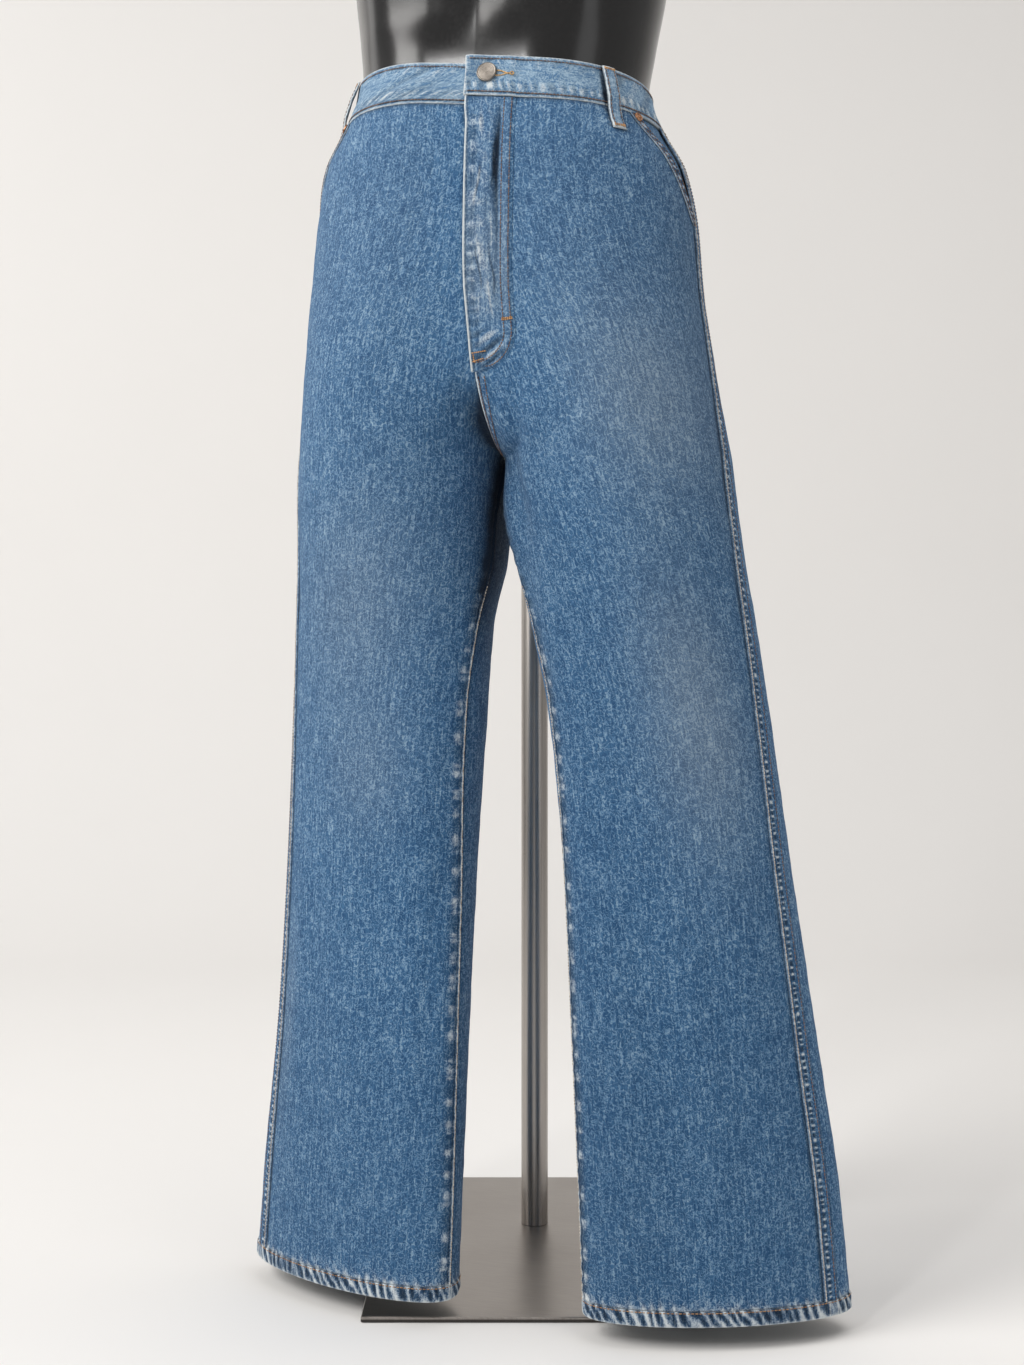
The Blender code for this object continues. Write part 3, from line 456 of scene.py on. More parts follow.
def centre_height(side_z):
    """Height at the centre back of the row that is side_z high at the outseam."""
    low_share = (side_z - YOKE_ROWS_FROM_Z) / (YOKE_SIDE_Z - YOKE_ROWS_FROM_Z)
    low = blend(YOKE_ROWS_FROM_Z, YOKE_CENTRE_Z, low_share)
    high = blend(YOKE_CENTRE_Z, WAIST_SEAM_Z, (side_z - YOKE_SIDE_Z) / (WAIST_SEAM_Z - YOKE_SIDE_Z))
    return np.where(side_z <= YOKE_ROWS_FROM_Z, side_z, np.where(side_z <= YOKE_SIDE_Z, low, high))

def slash_q(z):
    """The slash pocket's edge."""
    return SLASH_TOP_Q * (z - SLASH_FOOT_Z) / (WAIST_SEAM_Z - SLASH_FOOT_Z)


def loop_q(z, top_q, foot_q):
    """The middle of a belt loop."""
    return blend(foot_q, top_q, (z - LOOP_FOOT_Z) / (LOOP_TOP_Z - LOOP_FOOT_Z))


def arcs(points):
    """Distance along each row of a grid of points, from its first column."""
    steps = np.linalg.norm(np.diff(points, axis=1), axis=-1)
    return np.concatenate([np.zeros((len(points), 1)), np.cumsum(steps, axis=1)], axis=1)


def side_name(side):
    return "left" if side > 0 else "right"


def link(obj):
    bpy.context.scene.collection.objects.link(obj)
    return obj


def mesh_object(name, vertices, faces, material, uv=None, attributes=()):
    """A new smooth object with its UV map in metres, riding on the root body."""
    mesh = bpy.data.meshes.new(name)
    mesh.from_pydata(vertices.tolist(), [], faces)
    mesh.update()
    if uv is not None:
        corners = np.zeros(len(mesh.loops), np.int32)
        mesh.loops.foreach_get("vertex_index", corners)
        mesh.uv_layers.new(name="cloth").data.foreach_set("uv", uv[corners].astype(np.float32).ravel())
    for key, values in dict(attributes).items():
        mesh.attributes.new(key, "FLOAT", "POINT").data.foreach_set("value", values.astype(np.float32))
    mesh.materials.append(material)
    mesh.shade_smooth()
    obj = link(bpy.data.objects.new(name, mesh))
    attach(obj, "root")
    return obj


def grid_faces(index):
    """The four-sided faces of a grid of point numbers."""
    return np.stack([index[:-1, :-1], index[:-1, 1:], index[1:, 1:], index[1:, :-1]], -1).reshape(-1, 4)


def closed_rings(name, rings, material, flip=False):
    """A closed solid through rings of points, with flat ends."""
    index = np.arange(rings.shape[0] * rings.shape[1]).reshape(rings.shape[:2])
    faces = grid_faces(np.concatenate([index, index[:, :1]], axis=1)).tolist()
    faces += [index[0, ::-1].tolist(), index[-1].tolist()]
    if flip:
        faces = [face[::-1] for face in faces]
    return mesh_object(name, rings.reshape(-1, 3), faces, material)


def shell(name, place, lift, wall, uv, flip, worn=0.0, faded=0.0, dark=0.0, band=False, ring=False):
    """A closed thin shell on a grid: its outer side lifted off the cloth, its inner side a wall under it."""
    points, out = place
    shape = points.shape[:2]
    count = shape[0] * shape[1]
    index = np.arange(count).reshape(shape)
    if ring:
        index = np.concatenate([index, index[:, :1]], axis=1)
    faces = [grid_faces(index), grid_faces(index)[:, ::-1] + count]
    rims = [index[0, ::-1], index[-1]]
    if not ring:
        rims += [index[:, 0], index[::-1, -1]]
    for rim in rims:
        faces.append(np.stack([rim[:-1], rim[1:], rim[1:] + count, rim[:-1] + count], -1))
    faces = np.concatenate(faces)[:, ::-1] if flip else np.concatenate(faces)
    outer = points + out * np.broadcast_to(lift, shape)[..., None]
    inner = outer - out * np.broadcast_to(wall, shape)[..., None]
    vertices = np.concatenate([outer.reshape(-1, 3), inner.reshape(-1, 3)])
    attributes = {"reverse": np.repeat([0.0, 1.0], count)}
    # dark carries painted shade and shadow, and the deep dye between worn ridges
    for key, values in (("worn", worn), ("faded", faded), ("dark", dark)):
        attributes[key] = np.tile(np.broadcast_to(np.clip(values, 0, 1), shape).ravel(), 2)
    uv = np.stack(np.broadcast_arrays(*uv), -1).reshape(-1, 2)
    return mesh_object(name + "_cloth", vertices, faces.tolist(), DENIM_BAND if band else DENIM,
                       np.tile(uv, (2, 1)), attributes)


class Nodes:
    """Short calls for building a material's nodes."""

    def __init__(self, name):
        self.material = bpy.data.materials.new(name)
        self.material.use_nodes = True
        self.tree = self.material.node_tree
        self.shader = self.tree.nodes["Principled BSDF"]

    def put(self, socket, value):
        if isinstance(value, bpy.types.NodeSocket):
            self.tree.links.new(value, socket)
        else:
            socket.default_value = value

    def node(self, kind, settings=(), **inputs):
        made = self.tree.nodes.new(kind)
        for key, value in dict(settings).items():
            setattr(made, key, value)
        for key, value in inputs.items():
            self.put(made.inputs[key.replace("_", " ")], value)
        return made

    def look(self, **inputs):
        for key, value in inputs.items():
            self.put(self.shader.inputs[key.replace("_", " ")], value)

    def place(self):
        return self.node("ShaderNodeTexCoord").outputs["Object"]

    def attribute(self, name):
        return self.node("ShaderNodeAttribute", {"attribute_name": name}).outputs["Fac"]

    def math(self, operation, a, b=0.0):
        made = self.node("ShaderNodeMath", {"operation": operation})
        self.put(made.inputs[0], a)
        self.put(made.inputs[1], b)
        return made.outputs[0]

    def total(self, *terms):
        """Sum of values, each with its weight."""
        value = 0.0
        for part, weight in terms:
            value = self.math("ADD", value, self.math("MULTIPLY", part, weight))
        return value

    def mix(self, factor, a, b):
        made = self.node("ShaderNodeMix", {"data_type": "RGBA"}, Factor=factor, A=a, B=(*b, 1.0))
        return made.outputs["Result"]

    def stretch(self, vector, scale):
        return self.node("ShaderNodeMapping", Vector=vector, Scale=scale).outputs["Vector"]

    def noise(self, vector, scale, detail=2.0, roughness=0.5, distortion=0.0):
        made = self.node("ShaderNodeTexNoise", Vector=vector, Scale=scale, Detail=detail, Roughness=roughness,
                         Distortion=distortion)
        return made.outputs["Fac"]

    def spread(self, value, low, high, to_low=0.0, to_high=1.0):
        made = self.node("ShaderNodeMapRange", {"clamp": True}, Value=value, From_Min=low, From_Max=high,
                         To_Min=to_low, To_Max=to_high)
        return made.outputs["Result"]

    def ramp(self, value, *stops):
        made = self.node("ShaderNodeValToRGB", Fac=value)
        elements = made.color_ramp.elements
        while len(elements) < len(stops):
            elements.new(0.5)
        for element, (place, colour) in zip(elements, stops):
            element.position = place
            element.color = (*colour, 1.0)
        return made.outputs["Color"]

    def bump(self, height, distance, strength):
        made = self.node("ShaderNodeBump", Height=height, Distance=distance, Strength=strength)
        self.look(Normal=made.outputs["Normal"])


INDIGO_DEEP = (0.012, 0.058, 0.152)
INDIGO = (0.060, 0.163, 0.315)
INDIGO_LIGHT = (0.325, 0.470, 0.610)
FADED = (0.295, 0.368, 0.438)
WORN = (0.640, 0.690, 0.710)
# Near-black blue for the dark attribute: painted shade and shadow, and the deep dye left between worn ridges
SHADE_AND_DEEP_DYE = (0.004, 0.013, 0.030)
REVERSE = (0.330, 0.390, 0.430)


def denim_material(name, light=0.0):
    """Stonewashed twill: crackled grain, warp slubs, fades, worn ridges, a pale reverse and painted shade."""
    n = Nodes(name)
    uv = n.node("ShaderNodeUVMap", {"uv_map": "cloth"}).outputs["UV"]
    warp = n.noise(n.stretch(uv, (1.0, 0.85, 1.0)), 300.0, 1.0, 0.35, 0.9)
    crackle = n.spread(n.math("ABSOLUTE", n.math("SUBTRACT", warp, 0.5)), 0.012, 0.090, 1.0, 0.0)
    fine = n.noise(uv, 900.0, 2.0, 0.65, 0.8)
    slub = n.spread(n.noise(n.stretch(uv, (560.0, 34.0, 1.0)), 1.0, 3.0, 0.6, 0.5), 0.42, 0.78)
    pick = n.noise(n.stretch(uv, (30.0, 520.0, 1.0)), 1.0)
    cloud = n.math("SUBTRACT", n.noise(uv, 9.0, 4.0, 0.55), 0.5)
    grain = n.total((crackle, 0.235), (fine, 0.425), (slub, 0.22), (pick, 0.08))
    tone = n.total((grain, 1.0), (cloud, 0.13), (light, 1.0))
    colour = n.ramp(tone, (0.20, INDIGO_DEEP), (0.42, INDIGO), (0.72, INDIGO_LIGHT))
    worn = n.attribute("worn")
    faded = n.math("MULTIPLY", n.attribute("faded"), n.spread(grain, 0.25, 0.60, 0.40, 1.0))
    colour = n.mix(faded, colour, FADED)
    # Painted shade: the dark attribute mixes the cloth towards near-black where shade and shadow fall
    colour = n.mix(n.attribute("dark"), colour, SHADE_AND_DEEP_DYE)
    worn_grain = n.spread(n.total((grain, 1.0), (worn, 0.55)), 0.42, 0.84)
    colour = n.mix(n.math("MULTIPLY", worn, worn_grain), colour, WORN)
    colour = n.mix(n.math("MULTIPLY", n.attribute("reverse"), 0.9), colour, REVERSE)
    n.look(Base_Color=colour, Roughness=n.spread(grain, 0.35, 0.65, 0.95, 0.80), Specular_IOR_Level=0.22,
           Sheen_Weight=0.06, Sheen_Roughness=0.5)
    n.bump(grain, 0.0015, 0.75)
    return n.material


def thread_material(name, dark, light):
    """Twisted topstitching thread."""
    n = Nodes(name)
    place = n.place()
    colour = n.ramp(n.noise(place, 260.0, 2.0, 0.6), (0.38, dark), (0.62, light))
    n.look(Base_Color=colour, Roughness=0.62, Sheen_Weight=0.15)
    n.bump(n.noise(place, 1900.0, 1.0), 0.0002, 0.5)
    return n.material


def metal_material(name, dark, light, rough_low, rough_high):
    """Aged metal."""
    n = Nodes(name)
    tone = n.noise(n.place(), 500.0, 4.0, 0.65)
    n.look(Base_Color=n.ramp(tone, (0.35, dark), (0.65, light)), Metallic=1.0,
           Roughness=n.spread(tone, 0.3, 0.7, rough_low, rough_high))
    n.bump(tone, 0.0001, 0.5)
    return n.material


def steel_material(name, scale, colour, rough, painted_foot_shadow):
    """Brushed steel; a painted shadow darkens the foot of the plate's thin edge."""
    n = Nodes(name)
    place = n.place()
    streak = n.noise(n.stretch(place, scale), 1.0, 3.0, 0.6)
    dull = n.noise(place, 9.0, 3.0)
    colour = n.ramp(streak, (0.3, [c * 0.82 for c in colour]), (0.7, [c * 1.12 for c in colour]))
    # Painted shadow along the foot of the plate's edge
    if painted_foot_shadow:
        height = n.node("ShaderNodeSeparateXYZ", Vector=place).outputs["Z"]
        colour = n.mix(n.spread(height, 0.0024, 0.0032, 0.85, 0.0), colour, (0.02, 0.02, 0.02))
    brushed = n.spread(streak, 0.3, 0.7, rough, rough + 0.10)
    roughness = n.total((brushed, 1.0), (n.spread(dull, 0.35, 0.65), 0.06))
    n.look(Base_Color=colour, Roughness=roughness, Metallic=1.0)
    n.bump(streak, 0.00004, 0.4)
    return n.material


def form_material():
    """Satin-gloss black shell with faint moulding ripple."""
    n = Nodes("form_black_gloss")
    place = n.place()
    dust = n.noise(place, 420.0, 3.0, 0.7)
    n.look(Base_Color=n.ramp(dust, (0.4, (0.006, 0.006, 0.0065)), (0.8, (0.012, 0.0115, 0.012))),
           Roughness=n.spread(dust, 0.3, 0.7, 0.20, 0.26), Coat_Weight=0.3, Coat_Roughness=0.17)
    n.bump(n.noise(place, 14.0), 0.0015, 0.35)
    return n.material


def backdrop_material(colour):
    n = Nodes("studio_pale")
    tone = n.noise(n.place(), 3.0)
    n.look(Base_Color=n.ramp(tone, (0.3, [c * 0.992 for c in colour]), (0.7, colour)), Roughness=0.9)
    return n.material


DENIM = denim_material("denim_stonewashed")
DENIM_BAND = denim_material("denim_band", 0.185)
THREAD_BROWN = thread_material("thread_brown", (0.070, 0.034, 0.022), (0.230, 0.125, 0.075))
THREAD_BROWN_LIGHT = thread_material("thread_brown_light", (0.180, 0.085, 0.035), (0.420, 0.230, 0.105))
THREAD_TAN = thread_material("thread_tan", (0.300, 0.220, 0.160), (0.720, 0.660, 0.580))
THREAD_ORANGE = thread_material("thread_orange", (0.330, 0.150, 0.045), (0.640, 0.350, 0.135))
THREAD_GOLD = thread_material("thread_gold", (0.480, 0.270, 0.085), (0.800, 0.520, 0.230))
BUTTON_METAL = metal_material("button_aged", (0.200, 0.178, 0.155), (0.310, 0.280, 0.250), 0.40, 0.55)
COPPER = metal_material("rivet_aged", (0.170, 0.085, 0.050), (0.560, 0.300, 0.170), 0.32, 0.5)
POLE_STEEL = steel_material("pole_steel", (900.0, 900.0, 5.0), (0.430, 0.400, 0.375), 0.24, False)
PLATE_STEEL = steel_material("plate_steel", (40.0, 1400.0, 40.0), (0.325, 0.298, 0.276), 0.27, True)

# The hem's rope-like ridges
ROPE_PITCH = 0.0096
ROPE_SLANT = 0.55
HEM_COLUMNS = 420
# The valley between the legs, below the crotch, where shade is painted in
VALLEY_TOP_Z = 0.818
VALLEY_FOOT_Z = 0.580
# Stitch pitch and thread radius; bartacks are closer and thicker
STITCH_PITCH = 0.0030
THREAD_RADIUS = 0.00042
TACK_PITCH = 0.0016
TACK_RADIUS = 0.00055
LOOP_TACK_RADIUS = 0.00050
THREAD_LIFT = 0.0001
# Lines along a seam, each as place, half_width, height, worn, dark; dark paints shade in the grooves beside
# raised edges
INSEAM_LINES = [
    (0.0010, 0.0011, 0.0008, 0.0, 0.0),
    (0.0030, 0.0010, -0.0004, 0.0, 0.0),
    (0.0008, 0.0008, 0.0, 1.10, 0.0),
    (0.0026, 0.0008, 0.0, 0.0, 0.60),
]
RISE_LINES = [
    (0.0012, 0.0012, 0.0007, 0.0, 0.0),
    (0.0053, 0.0022, 0.0006, 0.0, 0.0),
    (0.0008, 0.0010, 0.0, 1.00, 0.0),
    (0.0053, 0.0015, 0.0, 0.35, 0.0),
    (0.0026, 0.0010, 0.0, 0.0, 0.50),
]
OUTSEAM_LINES = [
    (0.0078, 0.0007, 0.00045, 0.80, 0.0),
    (-0.0026, 0.0009, 0.00020, 0.0, 0.0),
    (-0.0036, 0.0006, 0.0, 0.30, 0.0),
    (0.0062, 0.0006, 0.0, 0.0, 0.55),
]
BAND_FOOT_LINES = [
    (0.0034, 0.0010, -0.0004, 0.0, 0.0),
    (0.0030, 0.0009, 0.0, 0.0, 0.80),
]


def hem_arc(side, q):
    """Distance round the hem from the outer edge."""
    table_q = np.linspace(0, 4.6, 921)
    return np.interp(q, table_q, arcs(surface(side, HEM_TOP_Z, table_q)[None])[0])


def roping(side, z, q):
    """Slanting ridges of the hem, 0 to 1, uneven in pitch and strength."""
    a = -side * hem_arc(side, q)
    slant = ROPE_SLANT * (1 + 0.5 * np.sin(a * 47 + 1.0)) * (HEM_TOP_Z - z)
    warped = a + 0.0021 * np.sin(a * 103 + side) + 0.0012 * np.sin(a * 271 + 2.0) + 0.0006 * np.sin(a * 617)
    ridge = (0.5 + 0.5 * np.cos(2 * np.pi * (warped - slant) / ROPE_PITCH)) ** 2
    second = (0.5 + 0.5 * np.cos(2 * np.pi * (1.37 * warped + 0.3 * slant) / ROPE_PITCH + 1.3)) ** 5
    strength = 0.66 + 0.34 * np.sin(a * 61 + 0.7 * side) * np.sin(a * 23)
    return np.clip(ridge * strength + 0.22 * second, 0, 1)


def puckers(length, pitch, seed):
    """Uneven waves along a seam, -1 to 1."""
    phase = 2 * np.pi * length / pitch + 1.4 * np.sin(2 * np.pi * length / (pitch * 6.3) + seed)
    return np.sin(phase + 0.8 * np.sin(2 * np.pi * length / (pitch * 2.7) + 2.1 * seed))


def seam_lines(off, rows):
    """Height, worn and painted shade of the lines along a seam, off being the distance from it."""
    return [sum(row[column] * bump(off, row[0], row[1]) for row in rows) for column in (2, 3, 4)]


def creasing(side, z, q):
    """Depth of the small creases and of the cloth's slight unevenness."""
    q = np.mod(q, 4)
    uneven = 0.00022 * np.sin(z * 97 + q * 9 + side) * np.sin(q * 23 + z * 31)
    uneven = uneven + 0.00016 * np.sin(z * 211 - q * 17) * np.sin(q * 47 + side)
    return uneven + troughs(side, z, q, CREASES, CREASE_WOBBLE)


def fades(side, z, q):
    value = 0.0
    q = np.mod(q, 4)
    for fade_side, fade_z, fade_q, half_height, half_q, strength in FADES:
        if fade_side == side:
            value = value + strength * bump(z, fade_z, half_height) * bump(q, fade_q, half_q)
    return value


def panel_shares():
    """Column places across a panel, closer together near both edges."""
    close = np.linspace(0, 0.035, 9)
    return np.concatenate([close, np.linspace(0.035, 0.965, 66)[1:-1], close + 0.965])


def panel_heights(top):
    """Row heights, closer together near the hem."""
    close = PANEL_FOOT_Z + 0.030
    low = np.linspace(PANEL_FOOT_Z, close, 21)[:-1]
    return np.concatenate([low, np.linspace(close, top, int((top - close) / 0.0031))])[:, None]


def panel_arcs(points, q, middle):
    """UV in metres from the crown line and along the leg, and the distances to the outer and inner edge."""
    along = arcs(points)
    order = 1 if q[0, 0] < q[0, -1] else -1
    crown = np.array([np.interp(middle, row_q[::order], row[::order]) for row_q, row in zip(q, along)])
    return (along - crown[:, None], points[..., 2]), along, along[:, -1:] - along


def hem_zone(side, z, q):
    """Roping that dies out above the hem's stitching, and the pale blotches there."""
    up = np.maximum(z - HEM_TOP_Z, 0)
    rope = roping(side, z, q)
    blotch = np.exp(-up / 0.0046) * (0.45 + 0.65 * rope) + 0.45 * rope * np.exp(-up / 0.0100)
    return 0.0008 * rope * np.exp(-up / 0.0060), 0.85 * np.clip(blotch, 0, 1)


def inseam_form(z, edge, seed):
    """The felled inseam: a raised edge, pale puckers beside it, how worn they are, and the shade painted in
    its groove and between the puckers.
    """
    wave = puckers(z, 0.0118, seed)
    patch = smooth(0.35 + puckers(z, 0.0240, 2 * seed) * 0.6 + puckers(z, 0.0091, seed + 1) * 0.4)
    high, worn, dark = seam_lines(edge, INSEAM_LINES)
    high = high + smooth((0.0095 - edge) / 0.0025) * (0.0003 + 0.0004 * wave)
    high = high + 0.00035 * wave * bump(edge, 0.012, 0.006)
    worn = worn + 0.72 * patch * bump(edge, 0.0070, 0.0042)
    return high, worn, dark + 0.34 * (1 - patch) * bump(edge, 0.0066, 0.0042)


def loop_shadow(side, z, q):
    """The painted shadow beside each belt loop on the cloth, 0 to 1."""
    value = 0.0
    for _, loop_side, top_q, foot_q in LOOPS[:-1]:
        middle = loop_q(z, top_q, foot_q)
        off = np.abs(np.mod(q, 4) - middle) / arc_step(+1, z, np.minimum(middle, 3.9), 1.0)
        near = smooth((LOOP_HALF_WIDTH + 0.0024 - off) / 0.0016) * (z > LOOP_FOOT_Z - 0.0012)
        value = np.maximum(value, near * (np.asarray(side) == loop_side))
    return value


def pocket_gape(z, off):
    """How far the slash pocket's edge stands open."""
    return GAPE_DEPTH * bump(z, GAPE_Z, GAPE_HALF_HEIGHT) * np.exp(-off / GAPE_REACH)


def inside_edge(side, z, q, sign):
    """A panel's inner edge: half a gap short of the inseam, or the centre line itself."""
    return np.where(z < CROTCH_Z, q + sign * arc_step(side, z, q, SEAM_HALF_GAP), q)


def build_front(side):
    """A front panel, from the outseam and the slash pocket's edge to the inseam and centre line."""
    z = panel_heights(WAIST_SEAM_Z)
    seam = outseam_q(z)
    edge = np.where(z > SLASH_FOOT_Z, slash_q(z), seam + arc_step(side, z, seam, SEAM_HALF_GAP))
    q = blend(edge, inside_edge(side, z, inner_q(z, True), -1), panel_shares())
    place = cloth(side, z, q)
    uv, to_outer, to_inner = panel_arcs(place[0], q, 1.0)
    leg = smooth((CROTCH_Z + 0.004 - z) / 0.012)
    high, worn, dark = inseam_form(z, to_inner, 1.0 + side)
    rope, blotch = hem_zone(side, z, q)
    strip = smooth((to_outer - SEAM_STRIP_FRONT - strip_shift(side)) / 0.003)
    free = np.where(z < SLASH_FOOT_Z, strip, 1.0)
    waist = puckers(to_outer, 0.0115, 3.0) * smooth((z - 1.020) / 0.014)
    rise = smooth((0.816 - z) / 0.004) * (1 - leg) * (side > 0)
    rise_high, rise_worn, rise_dark = seam_lines(to_inner, RISE_LINES)
    lift = leg * high + rise * rise_high + free * rope + 0.00025 * waist
    lift = lift + pocket_gape(z, to_outer) * (z > SLASH_FOOT_Z)
    lift = lift - creasing(side, z, q) * free * smooth(to_inner / 0.004)
    worn = leg * worn + rise * rise_worn + blotch * free + 0.18 * smooth(waist)
    # Painted shade in the seams' grooves and the painted shadow beside each belt loop
    dark = leg * dark + rise * rise_dark + 0.75 * loop_shadow(side, z, q)
    # Painted shadow beside the felled outseam strip and under the waistband
    dark = dark + 0.65 * bump(to_outer, 0.0098 + strip_shift(side), 0.0013) * (z < SLASH_FOOT_Z)
    dark = dark + 0.55 * np.exp(-(WAIST_SEAM_Z - z) / 0.0012)
    # Painted shade: darker lower down the legs, where less light falls
    dark = dark + 0.05 * smooth((0.80 - z) / 0.12) + 0.07 * smooth((0.42 - z) / 0.30)
    valley = smooth((VALLEY_TOP_Z - z) / 0.060) * smooth((z - VALLEY_FOOT_Z) / 0.090)
    if side > 0:
        # Painted shade on the inner half of the leg and along its outer edge high up
        dark = dark + 0.10 * smooth((q - 1.05) / 0.40) * smooth((0.80 - z) / 0.06)
        dark = dark + 0.22 * smooth((0.50 - q) / 0.40) * smooth((z - 0.55) / 0.10)
    else:
        # Painted shade in the valley between the legs and beside the rise seam, and the painted shadow of the
        # fly's lapped edge
        dark = dark + valley * (0.97 * np.exp(-(to_inner / 0.0165) ** 2) + 0.30 * np.exp(-to_inner / 0.032))
        dark = dark + 0.50 * bump(z, 0.786, 0.030) * np.exp(-to_inner / 0.0045)
        dark = dark + 0.60 * np.exp(-np.maximum(to_inner - fly_lap(z), 0) / 0.0011) * (z > 0.815)
    return shell("front_" + side_name(side), place, lift, WALL, uv, side < 0, worn * (1 - valley * leg),
                 fades(side, z, q), dark)


def build_back(side, side_z, name):
    """A back panel or yoke; its rows follow the yoke's slant high up."""
    seam = outseam_q(side_z)
    edge = 4 + seam - arc_step(side, side_z, seam, SEAM_HALF_GAP)
    q = blend(edge, inside_edge(side, side_z, inner_q(side_z, False), 1), panel_shares())
    z = blend(side_z, centre_height(side_z), smooth(panel_shares()))
    place = cloth(side, z, q)
    uv, to_outer, to_inner = panel_arcs(place[0], q, 3.0)
    strip = smooth(to_outer / 0.004 - 1.2)
    rope, blotch = hem_zone(side, z, q)
    # Painted shadow beside the inseam and beside the outseam strip
    dark = 0.75 * np.exp(-to_inner / 0.0011) * (z < CROTCH_Z) + 0.40 * bump(to_outer, 0.0062, 0.0014)
    if side < 0:
        # Painted shade of the inner thigh in the valley between the legs
        thigh = smooth((0.800 - z) / 0.030) * smooth((z - 0.545) / 0.110)
        dark = dark + 0.85 * thigh * np.exp(-to_inner / 0.045)
        dark = dark + 0.22 * smooth((0.700 - z) / 0.100) * np.exp(-(to_inner / 0.050) ** 2)
    calm = strip * smooth(to_inner / 0.004) * smooth((YOKE_SIDE_Z - 0.004 - side_z) / 0.010)
    patch = smooth((0.030 - np.abs(z - 0.885)) / 0.020 + 1.6)
    patch = patch * smooth((3.75 - q) / 0.08) * smooth((q - 2.35) / 0.08)
    lift = strip * rope - creasing(side, z, q) * calm * (1 - patch)
    return shell(name + side_name(side), place, lift, WALL, uv, side > 0, blotch * strip,
                 fades(side, z, q), dark)


def build_hem(side):
    """The turned-up hem: a roped ring round the leg, with the two seams running down through it."""
    count = HEM_COLUMNS
    start = float(outseam_q(HEM_Z))
    q = np.linspace(start, start + 4, count, endpoint=False)[None, :]
    z = np.linspace(HEM_Z, HEM_TOP_Z, 17)[:, None]
    place = cloth(side, z, q)
    along = arcs(place[0])
    inseam = (float(inner_q(HEM_Z, True)) - start) / 4 * (count - 1)
    inseam_arc = np.array([np.interp(inseam, np.arange(count), row) for row in along])[:, None]
    from_outseam = np.minimum(along, along[:, -1:] * count / (count - 1) - along)
    from_inseam = np.abs(along - inseam_arc)
    seams = bump(from_outseam, 0, 0.0045) + bump(from_inseam, 0, 0.0045)
    line = bump(from_outseam, 0.0046, 0.0006) + bump(from_inseam, 0.0012, 0.0006)
    foot = np.exp(-(z - HEM_Z) / 0.0013)
    top = smooth((z - HEM_TOP_Z + 0.0030) / 0.0030)
    rope = roping(side, z, q) * (1 - seams)
    lift = HEM_PROUD + 0.0011 * rope * smooth((z - HEM_Z + 0.004) / 0.008) - 0.0006 * foot - 0.0003 * top
    lift = lift + 0.0005 * seams * (1 - foot) + 0.0003 * line
    worn = 1.10 * rope + 0.70 * foot + 0.50 * seams + 0.50 * line + 0.15 * top
    # Dark between the ridges: the deep dye the roping keeps, with painted shade in the troughs
    dark = 0.90 * (1 - rope) ** 2.5 * (1 - foot) * (1 - seams)
    return shell("hem_" + side_name(side), place, lift, HEM_WALL - 0.0006 * foot, (along, place[0][..., 2]),
                 side < 0, worn, 0.10, dark, ring=True)


def build_outseam(side):
    """The felled outseam, puckered between its two rows of stitching."""
    z = np.linspace(PANEL_FOOT_Z, WAIST_SEAM_Z, 900)[:, None]
    off = np.linspace(-SEAM_STRIP, SEAM_STRIP_FRONT, 25)
    seam = outseam_q(z)
    wave = puckers(z, 0.0056, 3.0 + side)
    channel = bump(off, 0.0030, 0.0023)
    rim = smooth((SEAM_STRIP + off) / 0.0006) * smooth((SEAM_STRIP_FRONT - off) / 0.0005)
    high, worn, dark = seam_lines(off, OUTSEAM_LINES)
    wall = PATCH_WALL * (0.15 + 0.85 * rim) + high + 0.00030 * channel * wave
    worn = worn + 0.95 * channel * smooth(wave * 1.5 - 0.35)
    # Darker troughs between the puckers: less worn dye with painted shade
    dark = dark + 0.80 * channel * (1 - smooth(wave * 1.5 + 0.35))
    place = cloth(side, z, seam + arc_step(side, z, seam, off + strip_shift(side)))
    return shell("outseam_" + side_name(side), place, GAP + wall, wall, (off, z), side < 0, worn, 0.0, dark)


def pocket_hem_width(z):
    """Width of the slash pocket's folded edge, which narrows at its foot."""
    return POCKET_HEM * (0.25 + 0.75 * smooth((z - SLASH_FOOT_Z) / 0.012))


def build_pocket_facing(side):
    """The facing seen inside the slash pocket."""
    z = np.linspace(FACING_FOOT_Z, WAIST_SEAM_Z, 46)[:, None]
    seam = outseam_q(z)
    first = seam + arc_step(side, z, seam, SEAM_HALF_GAP)
    slash = slash_q(np.maximum(z, SLASH_FOOT_Z))
    last = np.maximum(slash, first) + arc_step(side, z, seam, POCKET_HEM)
    q = blend(first, last, np.linspace(0, 1, 30))
    place = cloth(side, z, q)
    inside = np.abs(slash - q) / arc_step(side, z, seam, 1.0)
    # Painted shade inside the slash pocket's opening
    hollow = 0.15 + 0.80 * bump(z, 0.990, 0.015) * bump(inside, 0, 0.0050)
    return shell("pocket_facing_" + side_name(side), place, -WALL - GAP, WALL, (arcs(place[0]), z), side < 0,
                 dark=hollow)


